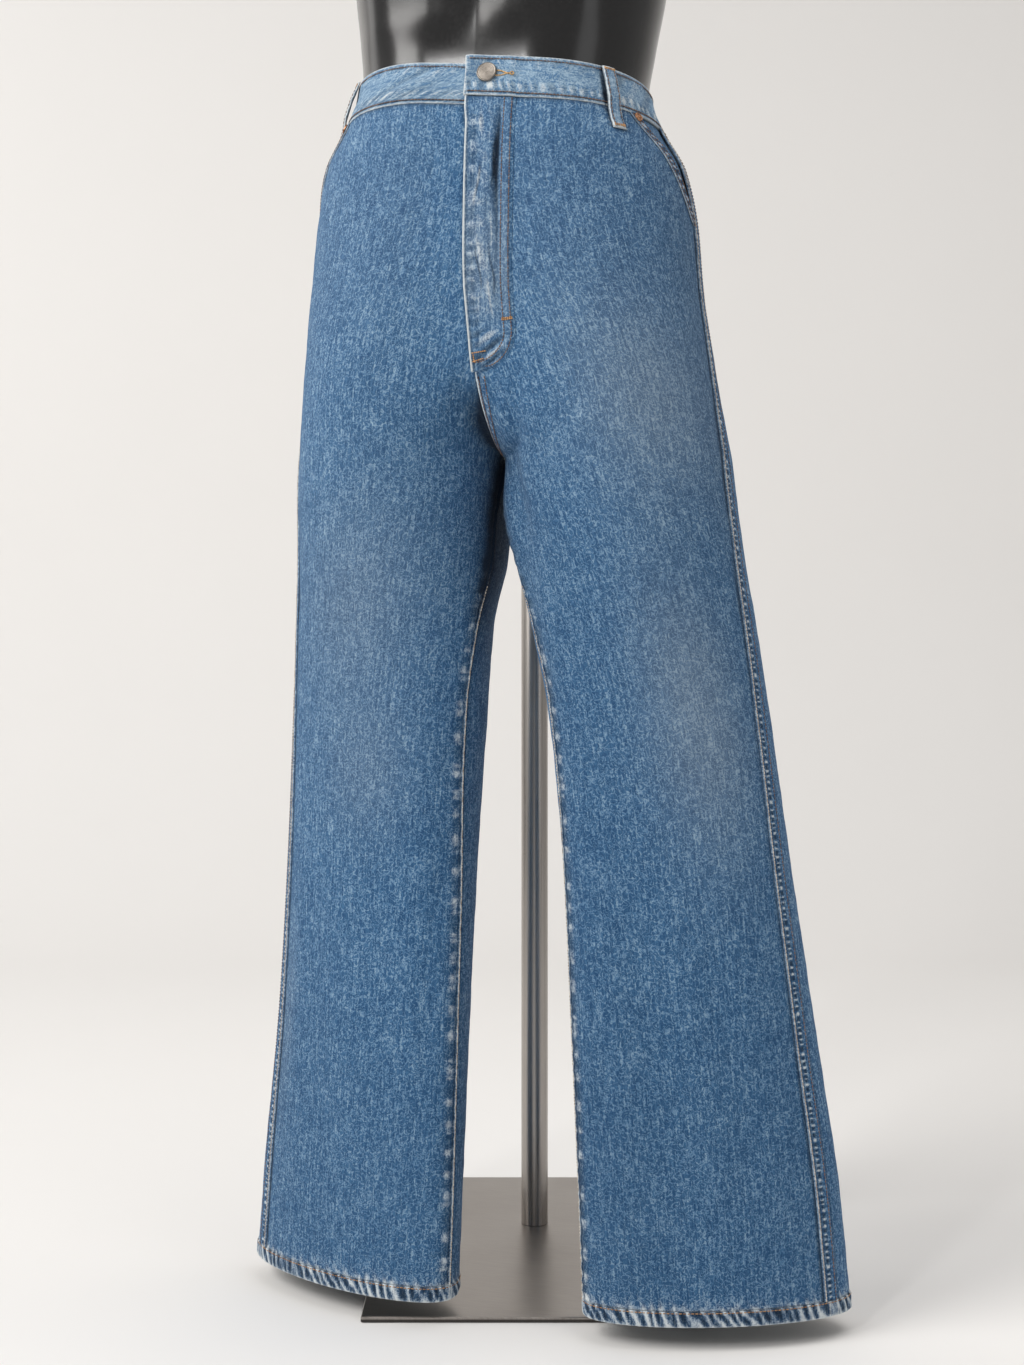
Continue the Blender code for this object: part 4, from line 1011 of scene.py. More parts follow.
def build_pocket_edge(side):
    """The folded edge of the slash pocket, on the front panel."""
    z = np.linspace(SLASH_FOOT_Z + 0.004, WAIST_SEAM_Z, 100)[:, None]
    width = pocket_hem_width(z)
    off = np.linspace(0, 1, 15) * width
    wave = puckers(z, 0.0066, 5.0 + side)
    middle = bump(off, width * 0.5, 0.0026)
    rim = smooth(off / 0.0008) * smooth((width - off) / 0.0008)
    wall = PATCH_WALL * (0.4 + 0.6 * rim) + 0.0003 * middle * wave
    worn = np.exp(-off / 0.0009) + 0.75 * middle * smooth(wave * 1.4) + 0.7 * np.exp(-(width - off) / 0.0007)
    # Darker troughs between the puckers: less worn dye with painted shade
    dark = 0.85 * middle * smooth(0.3 - wave * 1.4)
    place = cloth(side, z, slash_q(z) + arc_step(side, z, slash_q(z), off))
    return shell("pocket_edge_" + side_name(side), place, GAP + wall + pocket_gape(z, off), wall, (off, z),
                 side < 0, worn, 0.1, dark)


def patch_place(side, across, down):
    """Height and q of a point of a back pocket: across from its outer edge, down from its top, 0 to 1."""
    side_z = blend(*PATCH_Z, down)
    q = blend(blend(*PATCH_OUTER_Q, down), blend(*PATCH_INNER_Q, down), across)
    seam = 4 + outseam_q(side_z)
    return blend(side_z, centre_height(side_z), smooth((seam - q) / (seam - 2))), q


def patch_point(across, down):
    """How far the back pocket's foot is drawn down to a point."""
    return PATCH_POINT * (1 - np.abs(2 * across - 1)) * down ** 6


def build_back_pocket(side):
    """A plain patch pocket on the seat, with a pointed foot."""
    down = np.linspace(0, 1, 74)[:, None]
    across = np.linspace(0, 1, 60)[None, :]
    z, q = patch_place(side, across, down)
    z = z - patch_point(across, down)
    place = cloth(side, z, q)
    along = arcs(place[0])
    height = down * PATCH_HEIGHT
    to_edge = np.minimum(along, along[:, -1:] - along)
    to_edge = np.minimum(to_edge, np.minimum(height, PATCH_HEIGHT - height) + GAP)
    wave = puckers(along + height, 0.0080, 7.0)
    band = bump(to_edge, 0.0045, 0.0030)
    wall = PATCH_WALL * (0.4 + 0.6 * smooth(to_edge / 0.001)) + 0.0002 * band * wave
    worn = 0.8 * np.exp(-to_edge / 0.0009) + 0.3 * band * smooth(wave)
    return shell("back_pocket_" + side_name(side), place, GAP + wall, wall, (along, place[0][..., 2]),
                 side < 0, worn, 0.25 + fades(side, z, q))


def q_at_x(z, x):
    """q on the front between crown and centre line where the section is x from the centre plane."""
    z, x = np.broadcast_arrays(np.asarray(z, float), np.asarray(x, float))
    low, high = np.full(z.shape, 1.0), np.full(z.shape, CENTRE_FRONT_Q)
    for _ in range(32):
        middle = (low + high) / 2
        beyond = section_point(z, middle)[0] > x
        low, high = np.where(beyond, middle, low), np.where(beyond, high, middle)
    return low


def fly_width(z):
    """Width of the fly's covering layer, which narrows in a curve at its foot."""
    t = np.clip((FLY_CURVE_Z - z) / (FLY_CURVE_Z - FLY_FOOT_Z), 0, 1)
    return np.maximum(FLY_WIDTH * np.sqrt(np.maximum(1 - t**2.2, 0)), 0.0010)


def fly_bars(z):
    """Pale bars along the fly's edge, 0 to 1: wide apart high up and closer below."""
    high = smooth((z - 0.905) / 0.020)
    return smooth(0.25 + high * puckers(z, 0.0186, 1.7) + (1 - high) * puckers(z, 0.0098, 1.2))


def fly_lines(z):
    """How far from the centre line the fly's soft roll, its crease and its groove run."""
    roll = 0.0168 + 0.0024 * np.sin(z * 52) + 0.0010 * np.sin(z * 151)
    return roll, 0.0105 + 0.0030 * np.sin(z * 64 + 1), 0.0264 + 0.0008 * np.sin(z * 63)


def fly_foot(u, z, ease):
    """Where the fly's rounded foot lies, 0 to 1, and the slanting puckers on it."""
    zone = smooth((FLY_FOOT_TOP_Z - z) / ease) * bump(u, FLY_FOOT_MIDDLE, FLY_FOOT_REACH)
    return zone, puckers(z - 0.6 * u, 0.0120, 2.9)


def fly_lift(u, z):
    """Soft vertical rolls of the fly, the puckers along its edge and the groove beside its stitching."""
    roll, crease, groove = fly_lines(z)
    body = smooth((z - 0.840) / 0.050) * smooth((1.036 - z) / 0.016)
    lift = 0.0019 * bump(u, roll, 0.0066) * (0.75 + 0.25 * np.sin(z * 81 + 0.6))
    lift = lift + 0.0007 * bump(u, crease, 0.0022) * (0.5 + 0.5 * np.sin(z * 119))
    lift = lift - 0.0018 * bump(u, groove, 0.0026) * smooth((z - 0.915) / 0.040)
    foot, wave = fly_foot(u, z, 0.010)
    return body * lift + 0.0005 * (2 * fly_bars(z) - 1) * bump(u, 0.0065, 0.0048) + 0.0006 * foot * wave


def fly_lap(z):
    """How far the fly's edge laps past the centre line."""
    return blend(FLY_LAP_LOW, FLY_LAP, smooth((z - 1.010) / 0.020))


def fly_worn(u, z, from_edge, body):
    """The fly's pale edge, bars, streaks, the fan under the button and the blotches in its foot."""
    roll, crease, _ = fly_lines(z)
    broken = smooth(0.5 + puckers(z + 0.3 * u, 0.0210, 4.2) * 0.7 + 0.4 * np.sin(u * 520 + z * 90))
    streaks = 0.26 * bump(u, roll - 0.0010, 0.0040) * broken + 0.10 * bump(u, 0.0130, 0.0100)
    streaks = streaks + 0.40 * bump(u, crease, 0.0014) * (0.5 + 0.5 * np.sin(z * 119))
    third = bump(u, 0.0215 + 0.0016 * np.sin(z * 77), 0.0010) * (0.5 + 0.5 * np.sin(z * 87 + 2))
    streaks = streaks + 0.60 * third * smooth((0.950 - z) / 0.03)
    bars = fly_bars(z) * bump(u, 0.0050, 0.0048) * smooth((1.022 - z) / 0.008) * smooth((z - 0.846) / 0.02)
    fan = smooth(1.6 * np.sin((u - 0.0100) / (1.0420 - z) * 17) - 0.2) * smooth((z - 1.000) / 0.012)
    pale = bump(z, 0.893, 0.030) * bump(u, 0.0185, 0.0075) * (0.7 + 0.3 * np.sin(u * 2100 + z * 40))
    foot, wave = fly_foot(u, z, 0.012)
    return (1.3 * bump(from_edge, 0.0005, 0.0010) + 0.40 * bars + body * streaks
            + 0.32 * fan * bump(u, 0.0140, 0.0085) + 0.13 * pale + 0.75 * foot * smooth(wave))


def fly_shade(u, z, from_edge, body):
    """The fly's painted shade: its dark groove, its soft shadow, and the lines beside its rolls, bars and
    edge.
    """
    roll, _, groove = fly_lines(z)
    line = bump(u, groove, 0.0012 + 0.0008 * bump(z, 0.985, 0.020)) * (0.40 + 0.60 * bump(z, 0.988, 0.026))
    line = line * smooth((z - 0.880) / 0.05) * smooth((1.034 - z) / 0.010)
    soft = smooth((u - 0.0185) / 0.0070) * smooth((0.0290 - u) / 0.0015)
    soft = soft * (0.35 + 0.65 * bump(z, 0.968, 0.030))
    beside = 0.65 * bump(u, roll - 0.0062, 0.0009) * smooth(0.4 + np.sin(z * 93))
    beside = beside + 0.55 * bump(u, roll + 0.0052, 0.0009) * smooth(0.3 + np.sin(z * 71 + 1))
    foot, wave = fly_foot(u, z, 0.012)
    return (0.90 * line + body * (0.42 * soft + beside) + 0.75 * foot * smooth(-wave)
            + 0.45 * bump(from_edge, 0.0026, 0.0007)
            + 0.30 * (1 - fly_bars(z)) * bump(u, 0.0055, 0.0040) * (z < 1.020)
            + 0.50 * np.exp(-(WAIST_SEAM_Z - z) / 0.0012))


def build_fly():
    """The fly's covering layer on the left front, which laps over the right front."""
    z = np.linspace(FLY_FOOT_Z, WAIST_SEAM_Z - 0.0002, 190)[:, None]
    u = np.linspace(0, 1, 60) * fly_width(z)
    points, out = cloth(+1, z, q_at_x(z, u))
    lap = np.linspace(1, 0.25, 4)[None, :]
    past = fly_lap(z) * lap
    lap_points = points[:, :1] + out[:, :1] * (2 * GAP * lap)[..., None]
    lap_points[..., 0] -= past
    points = np.concatenate([lap_points, points], axis=1)
    out = np.concatenate([np.repeat(out[:, :1], 4, axis=1), out], axis=1)
    u = np.concatenate([-past, u], axis=1)
    from_edge = u + fly_lap(z)
    rim = smooth((fly_width(z) - u) / 0.0060)
    wall = PATCH_WALL * (0.12 + 0.88 * rim)
    lift = wall + blend(FLY_RIM_GAP, 2 * GAP, rim) + rim * fly_lift(u, z)
    lift = lift + 0.0004 * bump(from_edge, 0.0008, 0.0010)
    body = smooth((z - 0.842) / 0.030) * smooth((1.026 - z) / 0.016)
    faded = 0.15 + 0.35 * body * bump(z, 0.895, 0.060)
    worn, dark = fly_worn(u, z, from_edge, body), fly_shade(u, z, from_edge, body)
    return shell("fly_placket", (points, out), lift, wall, (u, z), True, rim * worn, rim * faded, rim * dark)


def waist_stations():
    """Stations round the waist as rows of side, q, shift along x and lift."""
    front = np.linspace(CENTRE_FRONT_Q, 0.0, 190)
    back = np.linspace(4.0, CENTRE_BACK_Q, 180)[1:]
    left = np.concatenate([[CENTRE_FRONT_Q] * 3, front, back])
    right = np.concatenate([back[-2::-1], front[::-1]])
    shift = np.zeros(len(left) + len(right))
    shift[:3] = -BAND_LAP * np.array([1.0, 0.66, 0.33])
    lift = np.zeros(len(shift))
    lift[:len(left)] = (BAND_WALL + GAP) * smooth((left - BAND_LAP_FROM_Q) / BAND_LAP_EASE_Q) * (left < 2)
    return np.repeat([1, -1], [len(left), len(right)]), np.concatenate([left, right]), shift, lift


def band_place(z):
    """The waistband's side, distance along it, and its surface and directions at some heights."""
    sides, q, shift, lift = waist_stations()
    left, right = cloth(+1, z, q[None, :]), cloth(-1, z, q[None, :])
    points, out = (np.where((sides > 0)[None, :, None], a, b) for a, b in zip(left, right))
    points = points + out * lift[None, :, None]
    points[..., 0] += shift
    return sides[None, :], q[None, :], points, out


def build_waistband():
    """One strip of cloth all round, its ends lapped at the front."""
    z = np.linspace(WAIST_SEAM_Z + GAP, BAND_TOP_Z, 30)[:, None]
    sides, q, points, out = band_place(z)
    along = arcs(points)
    low, high = z - WAIST_SEAM_Z, BAND_TOP_Z - z
    ladder = puckers(along + 0.25 * low, 0.0098, 2.0)
    bold = puckers(along - 0.8 * low, 0.0440, 4.0) * smooth(puckers(along, 0.1370, 1.0) + 0.6)
    small = puckers(along, 0.0135, 6.0)
    fold = np.exp(-high / 0.0010)
    belly = smooth(low / 0.008) * smooth(high / 0.006)
    rungs = bump(low, 0.0085, 0.0045)
    foot_high, foot_worn, foot_dark = seam_lines(low, BAND_FOOT_LINES)
    lift = BAND_PROUD + foot_high + 0.0005 * ladder * rungs + 0.0006 * bold * belly
    lift = lift + 0.0003 * small * bump(high, 0.006, 0.004) - 0.0008 * fold - 0.0003 * np.exp(-low / 0.0006)
    worn = foot_worn + 1.15 * fold + 1.2 * np.exp(-low / 0.0010) + np.exp(-along / 0.0010)
    worn = worn + 0.70 * smooth(ladder * 1.3) * rungs + 0.32 * smooth(bold * 2.4 - 1.3) * belly
    worn = worn + 0.40 * smooth(small) * bump(high, 0.0065, 0.0030)
    # Darker pucker troughs (less worn dye with painted shade), painted shade in the stitch grooves, and the
    # painted shadow beside each belt loop
    dark = 0.35 * smooth(-ladder * 1.2) * rungs + 0.25 * smooth(-bold * 1.6 - 0.5) * belly
    dark = dark + foot_dark + 0.55 * bump(high, 0.0032, 0.0008)
    return shell("waistband", (points, out), lift, BAND_WALL - 0.0009 * fold, (low, along), True, worn, 0.18,
                 dark + 0.80 * loop_shadow(sides, z, q), band=True)


def loop_place(name, side, top_q, foot_q, z, across, lift=0.0):
    """Points on a belt loop and the directions out of it; across runs from -1 to 1."""
    q = loop_q(z, top_q, foot_q)
    if name == "centre_back":
        points, out = cloth(side, z, q + 0 * across)
        points = points + (across * LOOP_HALF_WIDTH)[..., None] * np.array([1.0, 0, 0])
    else:
        points, out = cloth(side, z, q + across * arc_step(side, z, np.minimum(q, 3.9), LOOP_HALF_WIDTH))
    clearance = through(LOOP_CURVE, z)[..., 0] + lift
    return points + out * np.broadcast_to(clearance, points.shape[:-1])[..., None], out


def build_loop(loop):
    """A belt loop that stands off the waistband between its two sewn ends."""
    name, side = loop[:2]
    z = np.linspace(LOOP_FOOT_Z, LOOP_TOP_Z, 40)[:, None]
    across = np.linspace(-1, 1, 25)[None, :]
    from_middle = np.abs(across)
    wave = puckers(z + 0.002 * across, 0.0061, 1.0)
    body = bump(across, 0.0, 0.45)
    wall = LOOP_WALL * (0.45 + 0.55 * smooth((1 - from_middle) / 0.18)) + 0.0002 * (wave * (1 - body) + body)
    ends = np.exp(-(z - LOOP_FOOT_Z) / 0.0016) + np.exp(-(LOOP_TOP_Z - z) / 0.0012)
    worn = 1.1 * bump(from_middle, 0.90, 0.09) + 0.95 * ends + 0.22 * body
    # Painted shade along the stitching rows and in the pucker troughs, and a painted shadow outline at both
    # sides
    dark = 0.65 * bump(from_middle, 0.68, 0.08) + 0.30 * bump(from_middle, 0.50, 0.12) * smooth(-wave)
    return shell("belt_loop_" + name, loop_place(*loop, z, across), wall, wall, (across * LOOP_HALF_WIDTH, z),
                 side < 0, worn, 0.25, dark + 0.9 * (from_middle > 0.98), band=True)


def turned(name, profile, place, axis, material, sides):
    """A turned solid: a closed profile of radius and height on an axis."""
    angles = np.linspace(0, 2 * np.pi, sides, endpoint=False)
    turn = Vector((0, 0, 1)).rotation_difference(Vector(axis)).to_matrix()
    radius, height = np.array(profile, float).T[:, :, None]
    rings = np.stack([radius * np.cos(angles), radius * np.sin(angles), height + 0 * angles], -1)
    obj = closed_rings(name, rings @ np.array(turn).T + np.array(place), material)
    obj.data.set_sharp_from_angle(angle=math.radians(38))
    return obj


def build_button():
    """The fly button: a domed cap with fine rings, on a short shank."""
    point, out = cloth(+1, BUTTON_Z, q_at_x(BUTTON_Z, BUTTON_X))
    profile = [(0.90, 0.0), (1.0, 0.35), (1.0, 0.62), (0.955, 0.84), (0.90, 0.90), (0.86, 0.86), (0.82, 0.80)]
    for ring in (0.76, 0.63, 0.50, 0.37, 0.24):
        profile += [(ring, 0.80), (ring - 0.03, 0.86), (ring - 0.06, 0.86), (ring - 0.09, 0.80)]
    profile += [(0.12, 0.80), (0.09, 0.93), (0.03, 0.95)]
    seat = BAND_PROUD + BAND_WALL + GAP + BUTTON_SHANK
    profile = np.array(profile) * (BUTTON_RADIUS, BUTTON_HEIGHT)
    return turned("button_cap", profile, point + out * seat, out, BUTTON_METAL, 64)


def build_rivet(side):
    """The rivet at the top of a slash pocket's edge."""
    edge = slash_q(RIVET_Z)
    point, out = cloth(side, RIVET_Z, edge + arc_step(side, RIVET_Z, edge, POCKET_HEM * 0.45))
    profile = [(0.96, 0.0), (1.0, 0.25), (0.93, 0.75), (0.80, 0.98), (0.66, 0.90), (0.56, 0.55), (0.40, 0.50),
               (0.32, 0.62), (0.20, 0.92), (0.05, 1.0)]
    profile = np.array(profile) * (RIVET_RADIUS, RIVET_HEIGHT)
    return turned("rivet_head_" + side_name(side), profile, point + out * RIVET_SEAT, out, COPPER, 40)


def stitch_rows(name, rows, material, pitch=STITCH_PITCH, radius=THREAD_RADIUS):
    """Rows of stitches as one mesh. A row is its points and the directions out of the cloth."""
    starts, ends, outs = [], [], []
    for points, out in rows:
        length = arcs(points[None])[0]
        count = max(int(length[-1] / pitch), 1)
        first = np.arange(count) * length[-1] / count
        last = first + length[-1] / count * 0.84
        middle = (first + last) / 2
        for found, where, source in ((starts, first, points), (ends, last, points), (outs, middle, out)):
            found.append(np.stack([np.interp(where, length, source[:, k]) for k in range(3)], -1))
    a, b, up = np.concatenate(starts), np.concatenate(ends), np.concatenate(outs)
    up = up / np.linalg.norm(up, axis=-1, keepdims=True)
    along = (b - a) / np.maximum(np.linalg.norm(b - a, axis=-1, keepdims=True), 1e-9)
    across = np.cross(up, along)
    angles = np.linspace(0, 2 * np.pi, 5, endpoint=False)[None, :, None]
    spokes = np.cos(angles) * across[:, None] + np.sin(angles) * up[:, None]
    rings = []
    for t, height, size in ((0.0, -0.55, 0.55), (0.22, 0.45, 1.0), (0.78, 0.45, 1.0), (1.0, -0.55, 0.55)):
        centre = a + (b - a) * t + up * radius * height
        rings.append(centre[:, None] + radius * size * spokes)
    vertices = np.stack(rings, 1)
    index = np.arange(vertices.size // 3).reshape(vertices.shape[:3])
    following = np.roll(index, -1, axis=2)
    faces = np.stack([index[:, :-1], index[:, 1:], following[:, 1:], following[:, :-1]], -1)
    faces = faces.reshape(-1, 4).tolist() + index[:, 0].tolist() + index[:, -1, ::-1].tolist()
    return mesh_object(name, vertices.reshape(-1, 3), faces, material)


def seam_line(side, z, q, lift):
    """A row along the cloth at a distance out of it."""
    points, out = cloth(side, z, q)
    return points + out * np.broadcast_to(lift, points.shape[:-1])[..., None], out


def outseam_stitches(side):
    z = np.linspace(HEM_TOP_Z, WAIST_SEAM_Z - 0.001, 500)
    seam = outseam_q(z)
    pieces = []
    for end, off, lift, material, pitch in (("front_", 0.0078, 0.0005, THREAD_TAN, 0.0027),
                                            ("back_", -0.0026, 0.0002, THREAD_BROWN, STITCH_PITCH)):
        q = seam + arc_step(side, z, seam, off + strip_shift(side))
        row = seam_line(side, z, q, GAP + PATCH_WALL + lift)
        pieces.append(stitch_rows("stitch_outseam_" + end + side_name(side), [row], material, pitch))
    return pieces


def inseam_stitches(side):
    z = np.linspace(HEM_TOP_Z, INSEAM_STITCHES_TOP_Z, 380)
    inner = inner_q(z, True)
    row = seam_line(side, z, inner - arc_step(side, z, inner, 0.0012), 0.0011)
    return [stitch_rows("stitch_inseam_" + side_name(side), [row], THREAD_TAN, 0.0026)]


def hem_stitches(side):
    start = float(outseam_q(HEM_Z))
    q = np.linspace(start, start + 4, 700)
    z = np.full_like(q, HEM_TOP_Z - 0.0012)
    row = seam_line(side, z, q, 0.0007 + 0.0007 * roping(side, z, q))
    return [stitch_rows("stitch_hem_" + side_name(side), [row], THREAD_BROWN_LIGHT, 0.0034, 0.00045)]


def band_stitches():
    rows = []
    for z in (WAIST_SEAM_Z + 0.0031, BAND_TOP_Z - 0.0034):
        points, out = band_place(np.array([[z]]))[2:]
        rows.append(((points + out * (BAND_PROUD + 0.0002))[0, 2:-2], out[0, 2:-2]))
    return stitch_rows("stitch_waistband", rows, THREAD_BROWN)


def fly_stitches():
    """Two curved rows beside the fly, and two down the rise below it."""
    rows = []
    turn = np.linspace(0, np.pi / 2, 40)[1:]
    for inset, end, foot, top in ((0.0030, 0.0105, 0.8165, 0.8460), (0.0096, 0.0006, 0.8200, 0.8450)):
        width = FLY_WIDTH - inset
        z = np.concatenate([np.linspace(WAIST_SEAM_Z - 0.001, top, 130), top - (top - foot) * np.sin(turn)])
        u = np.concatenate([np.full(130, width), width - (width - end) * (1 - np.cos(turn))])
        rows.append(seam_line(+1, z, q_at_x(z, u), 2 * GAP + PATCH_WALL + THREAD_LIFT + fly_lift(u, z)))
    z = np.linspace(0.8090, CROTCH_Z + 0.002, 60)
    for off in (0.0026, 0.0080):
        rows.append(seam_line(+1, z, 2 - 1e-4 - arc_step(+1, z, 1.98, off), 0.0003))
    return stitch_rows("stitch_fly", rows, THREAD_BROWN, 0.0027)


def bartacks():
    """Bartacks at the foot of the fly, each between two heights and two distances from the centre line."""
    steps = np.linspace(0, 1, 12)
    rows = []
    for z, end_z, u, end_u in ((0.8535, 0.8540, 0.0290, 0.0390), (0.8523, 0.8528, 0.0290, 0.0390),
                               (0.8272, 0.8285, -0.0005, 0.0130), (0.8205, 0.8228, -0.0005, 0.0105),
                               (0.8262, 0.8200, 0.0015, 0.0017)):
        heights = blend(z, end_z, steps)
        q = q_at_x(heights, blend(u, end_u, steps))
        rows.append(seam_line(+1, heights, q, 2 * GAP + PATCH_WALL + 0.0004))
    return stitch_rows("stitch_bartacks", rows, THREAD_ORANGE, TACK_PITCH, TACK_RADIUS)


def pocket_stitches(side):
    z = np.linspace(SLASH_FOOT_Z + 0.006, WAIST_SEAM_Z - 0.001, 90)
    rows = []
    for share in (0.18, 0.86):
        off = pocket_hem_width(z) * share
        q = slash_q(z) + arc_step(side, z, slash_q(z), off)
        rows.append(seam_line(side, z, q, GAP + PATCH_WALL + THREAD_LIFT + pocket_gape(z, off)))
    return [stitch_rows("stitch_pocket_" + side_name(side), rows, THREAD_BROWN)]


def back_stitches(side):
    """Yoke, seat and back pocket rows."""
    rows = []
    share = np.linspace(0.01, 1, 160)
    for off in (-0.0022, -0.0080):
        side_z = np.full_like(share, YOKE_SIDE_Z + off)
        q = blend(4 + outseam_q(side_z), CENTRE_BACK_Q, share)
        rows.append(seam_line(side, blend(side_z, centre_height(side_z), smooth(share)), q, 0.0002))
    if side > 0:
        z = np.linspace(CROTCH_Z + 0.012, WAIST_SEAM_Z - 0.001, 180)
        for off in (0.0024, 0.0084):
            rows.append(seam_line(side, z, 2 + 1e-4 + arc_step(side, z, 2.01, off), 0.0002))
    steps = np.linspace(0, 1, 120)
    on_patch = GAP + PATCH_WALL + THREAD_LIFT
    for inset in (0.0022, 0.0078):
        a, d = inset / PATCH_WIDTH, inset / PATCH_HEIGHT
        rows.append(seam_line(side, *patch_place(side, a, blend(0.0, 1 - d, steps)), on_patch))
        z, q = patch_place(side, blend(a, 1 - a, steps), 1 - d)
        rows.append(seam_line(side, z - patch_point(blend(a, 1 - a, steps), 1 - d), q, on_patch))
        rows.append(seam_line(side, *patch_place(side, 1 - a, blend(1 - d, 0.0, steps)), on_patch))
    for down in (0.045, 0.085):
        rows.append(seam_line(side, *patch_place(side, blend(0.02, 0.98, steps), down), on_patch))
    return [stitch_rows("stitch_back_" + side_name(side), rows, THREAD_BROWN)]


def loop_stitches():
    """Rows along both edges of every belt loop, and the bartacks at its ends."""
    z = np.linspace(LOOP_FOOT_Z + 0.003, LOOP_TOP_Z - 0.003, 40)
    across = np.linspace(-0.86, 0.86, 12)
    ends = (LOOP_FOOT_Z + 0.0016, LOOP_FOOT_Z + 0.0028, LOOP_TOP_Z - 0.0026, LOOP_TOP_Z - 0.0014)
    edges, tacks = [], []
    for loop in LOOPS:
        edges += [loop_place(*loop, z, np.full(40, edge), LOOP_WALL + THREAD_LIFT) for edge in (-0.66, 0.66)]
        tacks += [loop_place(*loop, np.full(12, end), across, LOOP_WALL + THREAD_LIFT) for end in ends]
    return (stitch_rows("stitch_loops", edges, THREAD_BROWN),
            stitch_rows("stitch_loop_tacks", tacks, THREAD_ORANGE, TACK_PITCH, LOOP_TACK_RADIUS))


def buttonhole():
    """The keyhole's thick stitching beside the button."""
    u = np.linspace(0.0215, 0.0345, 20)
    spread = 0.0022 * smooth((0.0330 - u) / 0.008)
    angle = np.linspace(0, 2 * np.pi, 24)
    base = BAND_PROUD + BAND_WALL + GAP + 0.0004
    rows = []
    for z, u, lift in ((BUTTON_Z - spread, u, 0.0003), (BUTTON_Z + spread, u, 0.0003),
                       (BUTTON_Z + 0.0013 * np.sin(angle), 0.0360 + 0.0016 * np.cos(angle), 0.0004)):
        rows.append(seam_line(+1, z + 0.0002, q_at_x(z + 0.0002, u), base + lift))
    return stitch_rows("stitch_buttonhole", rows, THREAD_GOLD, 0.0012, 0.00062)


def form_half(side, z):
    """Points of one half of the form, from its back to its front."""
    inset, scale = np.moveaxis(through(curve_of(FORM_ROWS), z), -1, 0)
    q = np.linspace(CENTRE_BACK_Q, 4 + CENTRE_FRONT_Q, 120)[None, :]
    section_z, q = np.broadcast_arrays(np.maximum(z, FORM_BASE_SECTION_Z), q)
    x, y = section_point(section_z, np.mod(q, 4))
    points = hang(side, x, y, section_z, step=False)
    out = normal(side, section_z, q)
    out[..., 2] = 0
    on_line = np.abs(np.mod(q, 4) - 2) < 1e-3
    points[..., 0] -= np.where(on_line, side * SEAM_HALF_GAP, 0)
    out[..., 0] = np.where(on_line, 0, out[..., 0])
    out = out / np.linalg.norm(out, axis=-1, keepdims=True)
    ease = FORM_FRONT_EASE * np.maximum(1 - np.abs(points[..., 0]) / FRONT_STEP_REACH, 0) ** 2
    points = points - out * (inset + np.where(points[..., 1] < 0, ease, 0))[..., None]
    points[..., 2] += z - section_z
    points[..., 0] *= scale
    points[..., 1] = FORM_MIDDLE_Y + (points[..., 1] - FORM_MIDDLE_Y) * scale
    across, height = points[..., 0], points[..., 2]
    relief = sum(high * bump(across, middle, half) for middle, half, high in FORM_RELIEF)
    shown = smooth((height - 1.085) / 0.030) * smooth((1.235 - height) / 0.020) * (points[..., 1] < 0)
    points[..., 1] -= shown * relief
    points[..., 0] += FORM_LEAN * np.maximum(height - BAND_TOP_Z, 0)
    return points


def build_form():
    """The limbless trouser form."""
    foot, top = [row[0] for row in FORM_ROWS[:5]], [1.2382, 1.2394, 1.2401, 1.2405]
    z = np.concatenate([foot, np.linspace(0.880, 1.236, 70), top])[:, None]
    ring = np.concatenate([form_half(+1, z)[:, :0:-1], form_half(-1, z)[:, :-1]], axis=1)
    return closed_rings("trouser_form", ring, form_material(), flip=True)


def build_pole():
    """The round pole, its top edge eased."""
    r, height = POLE_RADIUS, POLE_TOP_Z - POLE_FOOT_Z
    profile = [(r, 0.0), (r, height - 0.0015), (r - 0.0004, height - 0.0005), (r - 0.0015, height)]
    return turned("pole", profile, (*POLE_CENTRE, POLE_FOOT_Z), (0, 0, 1), POLE_STEEL, 96)


def build_stage():
    """A pale floor that sweeps up into a backdrop."""
    reach, bend, top, half = 1.9, 1.0, 4.6, 6.0
    path = [(-5.0, 0.0), (0.0, 0.0), (reach, 0.0)]
    for angle in np.linspace(0.1, math.pi / 2, 16):
        path.append((reach + bend * math.sin(angle), bend - bend * math.cos(angle)))
    path.append((reach + bend, top))
    c, s = math.cos(CAMERA_TURN), math.sin(CAMERA_TURN)
    vertices, faces = [], []
    for depth, height in path:
        for across in (-half, half):
            vertices.append((across * c - depth * s, across * s + depth * c, height - 0.0004))
    for k in range(0, 2 * len(path) - 2, 2):
        faces.append((k, k + 1, k + 3, k + 2))
    mesh = bpy.data.meshes.new("studio_floor")
    mesh.from_pydata(vertices, [], faces)
    mesh.materials.append(backdrop_material((0.86, 0.845, 0.83)))
    mesh.shade_smooth()
    link(bpy.data.objects.new("studio_floor", mesh))


# Lamps: name, place, aim, size, power, colour
LAMPS = [
    ("key", (-2.1, -2.1, 2.7), (0.0, 0.0, 0.75), (1.9, 2.4), 98.0, (1.0, 0.985, 0.96)),
    ("fill", (2.8, -1.6, 1.5), (0.0, 0.0, 0.7), (1.2, 2.0), 6.0, (0.98, 0.99, 1.0)),
    ("top", (1.1, 0.1, 3.2), (1.0, 0.2, 0.0), (2.2, 1.8), 30.0, (1.0, 0.99, 0.98)),
    ("glint", (-0.60, -2.40, 2.15), (0.0, 0.0, 1.10), (0.22, 0.70), 13.0, (1.0, 0.99, 0.98)),
    ("backdrop", (-3.2, 0.9, 2.3), (-0.6, 3.6, 0.9), (1.6, 2.4), 13.0, (1.0, 0.985, 0.965)),
]


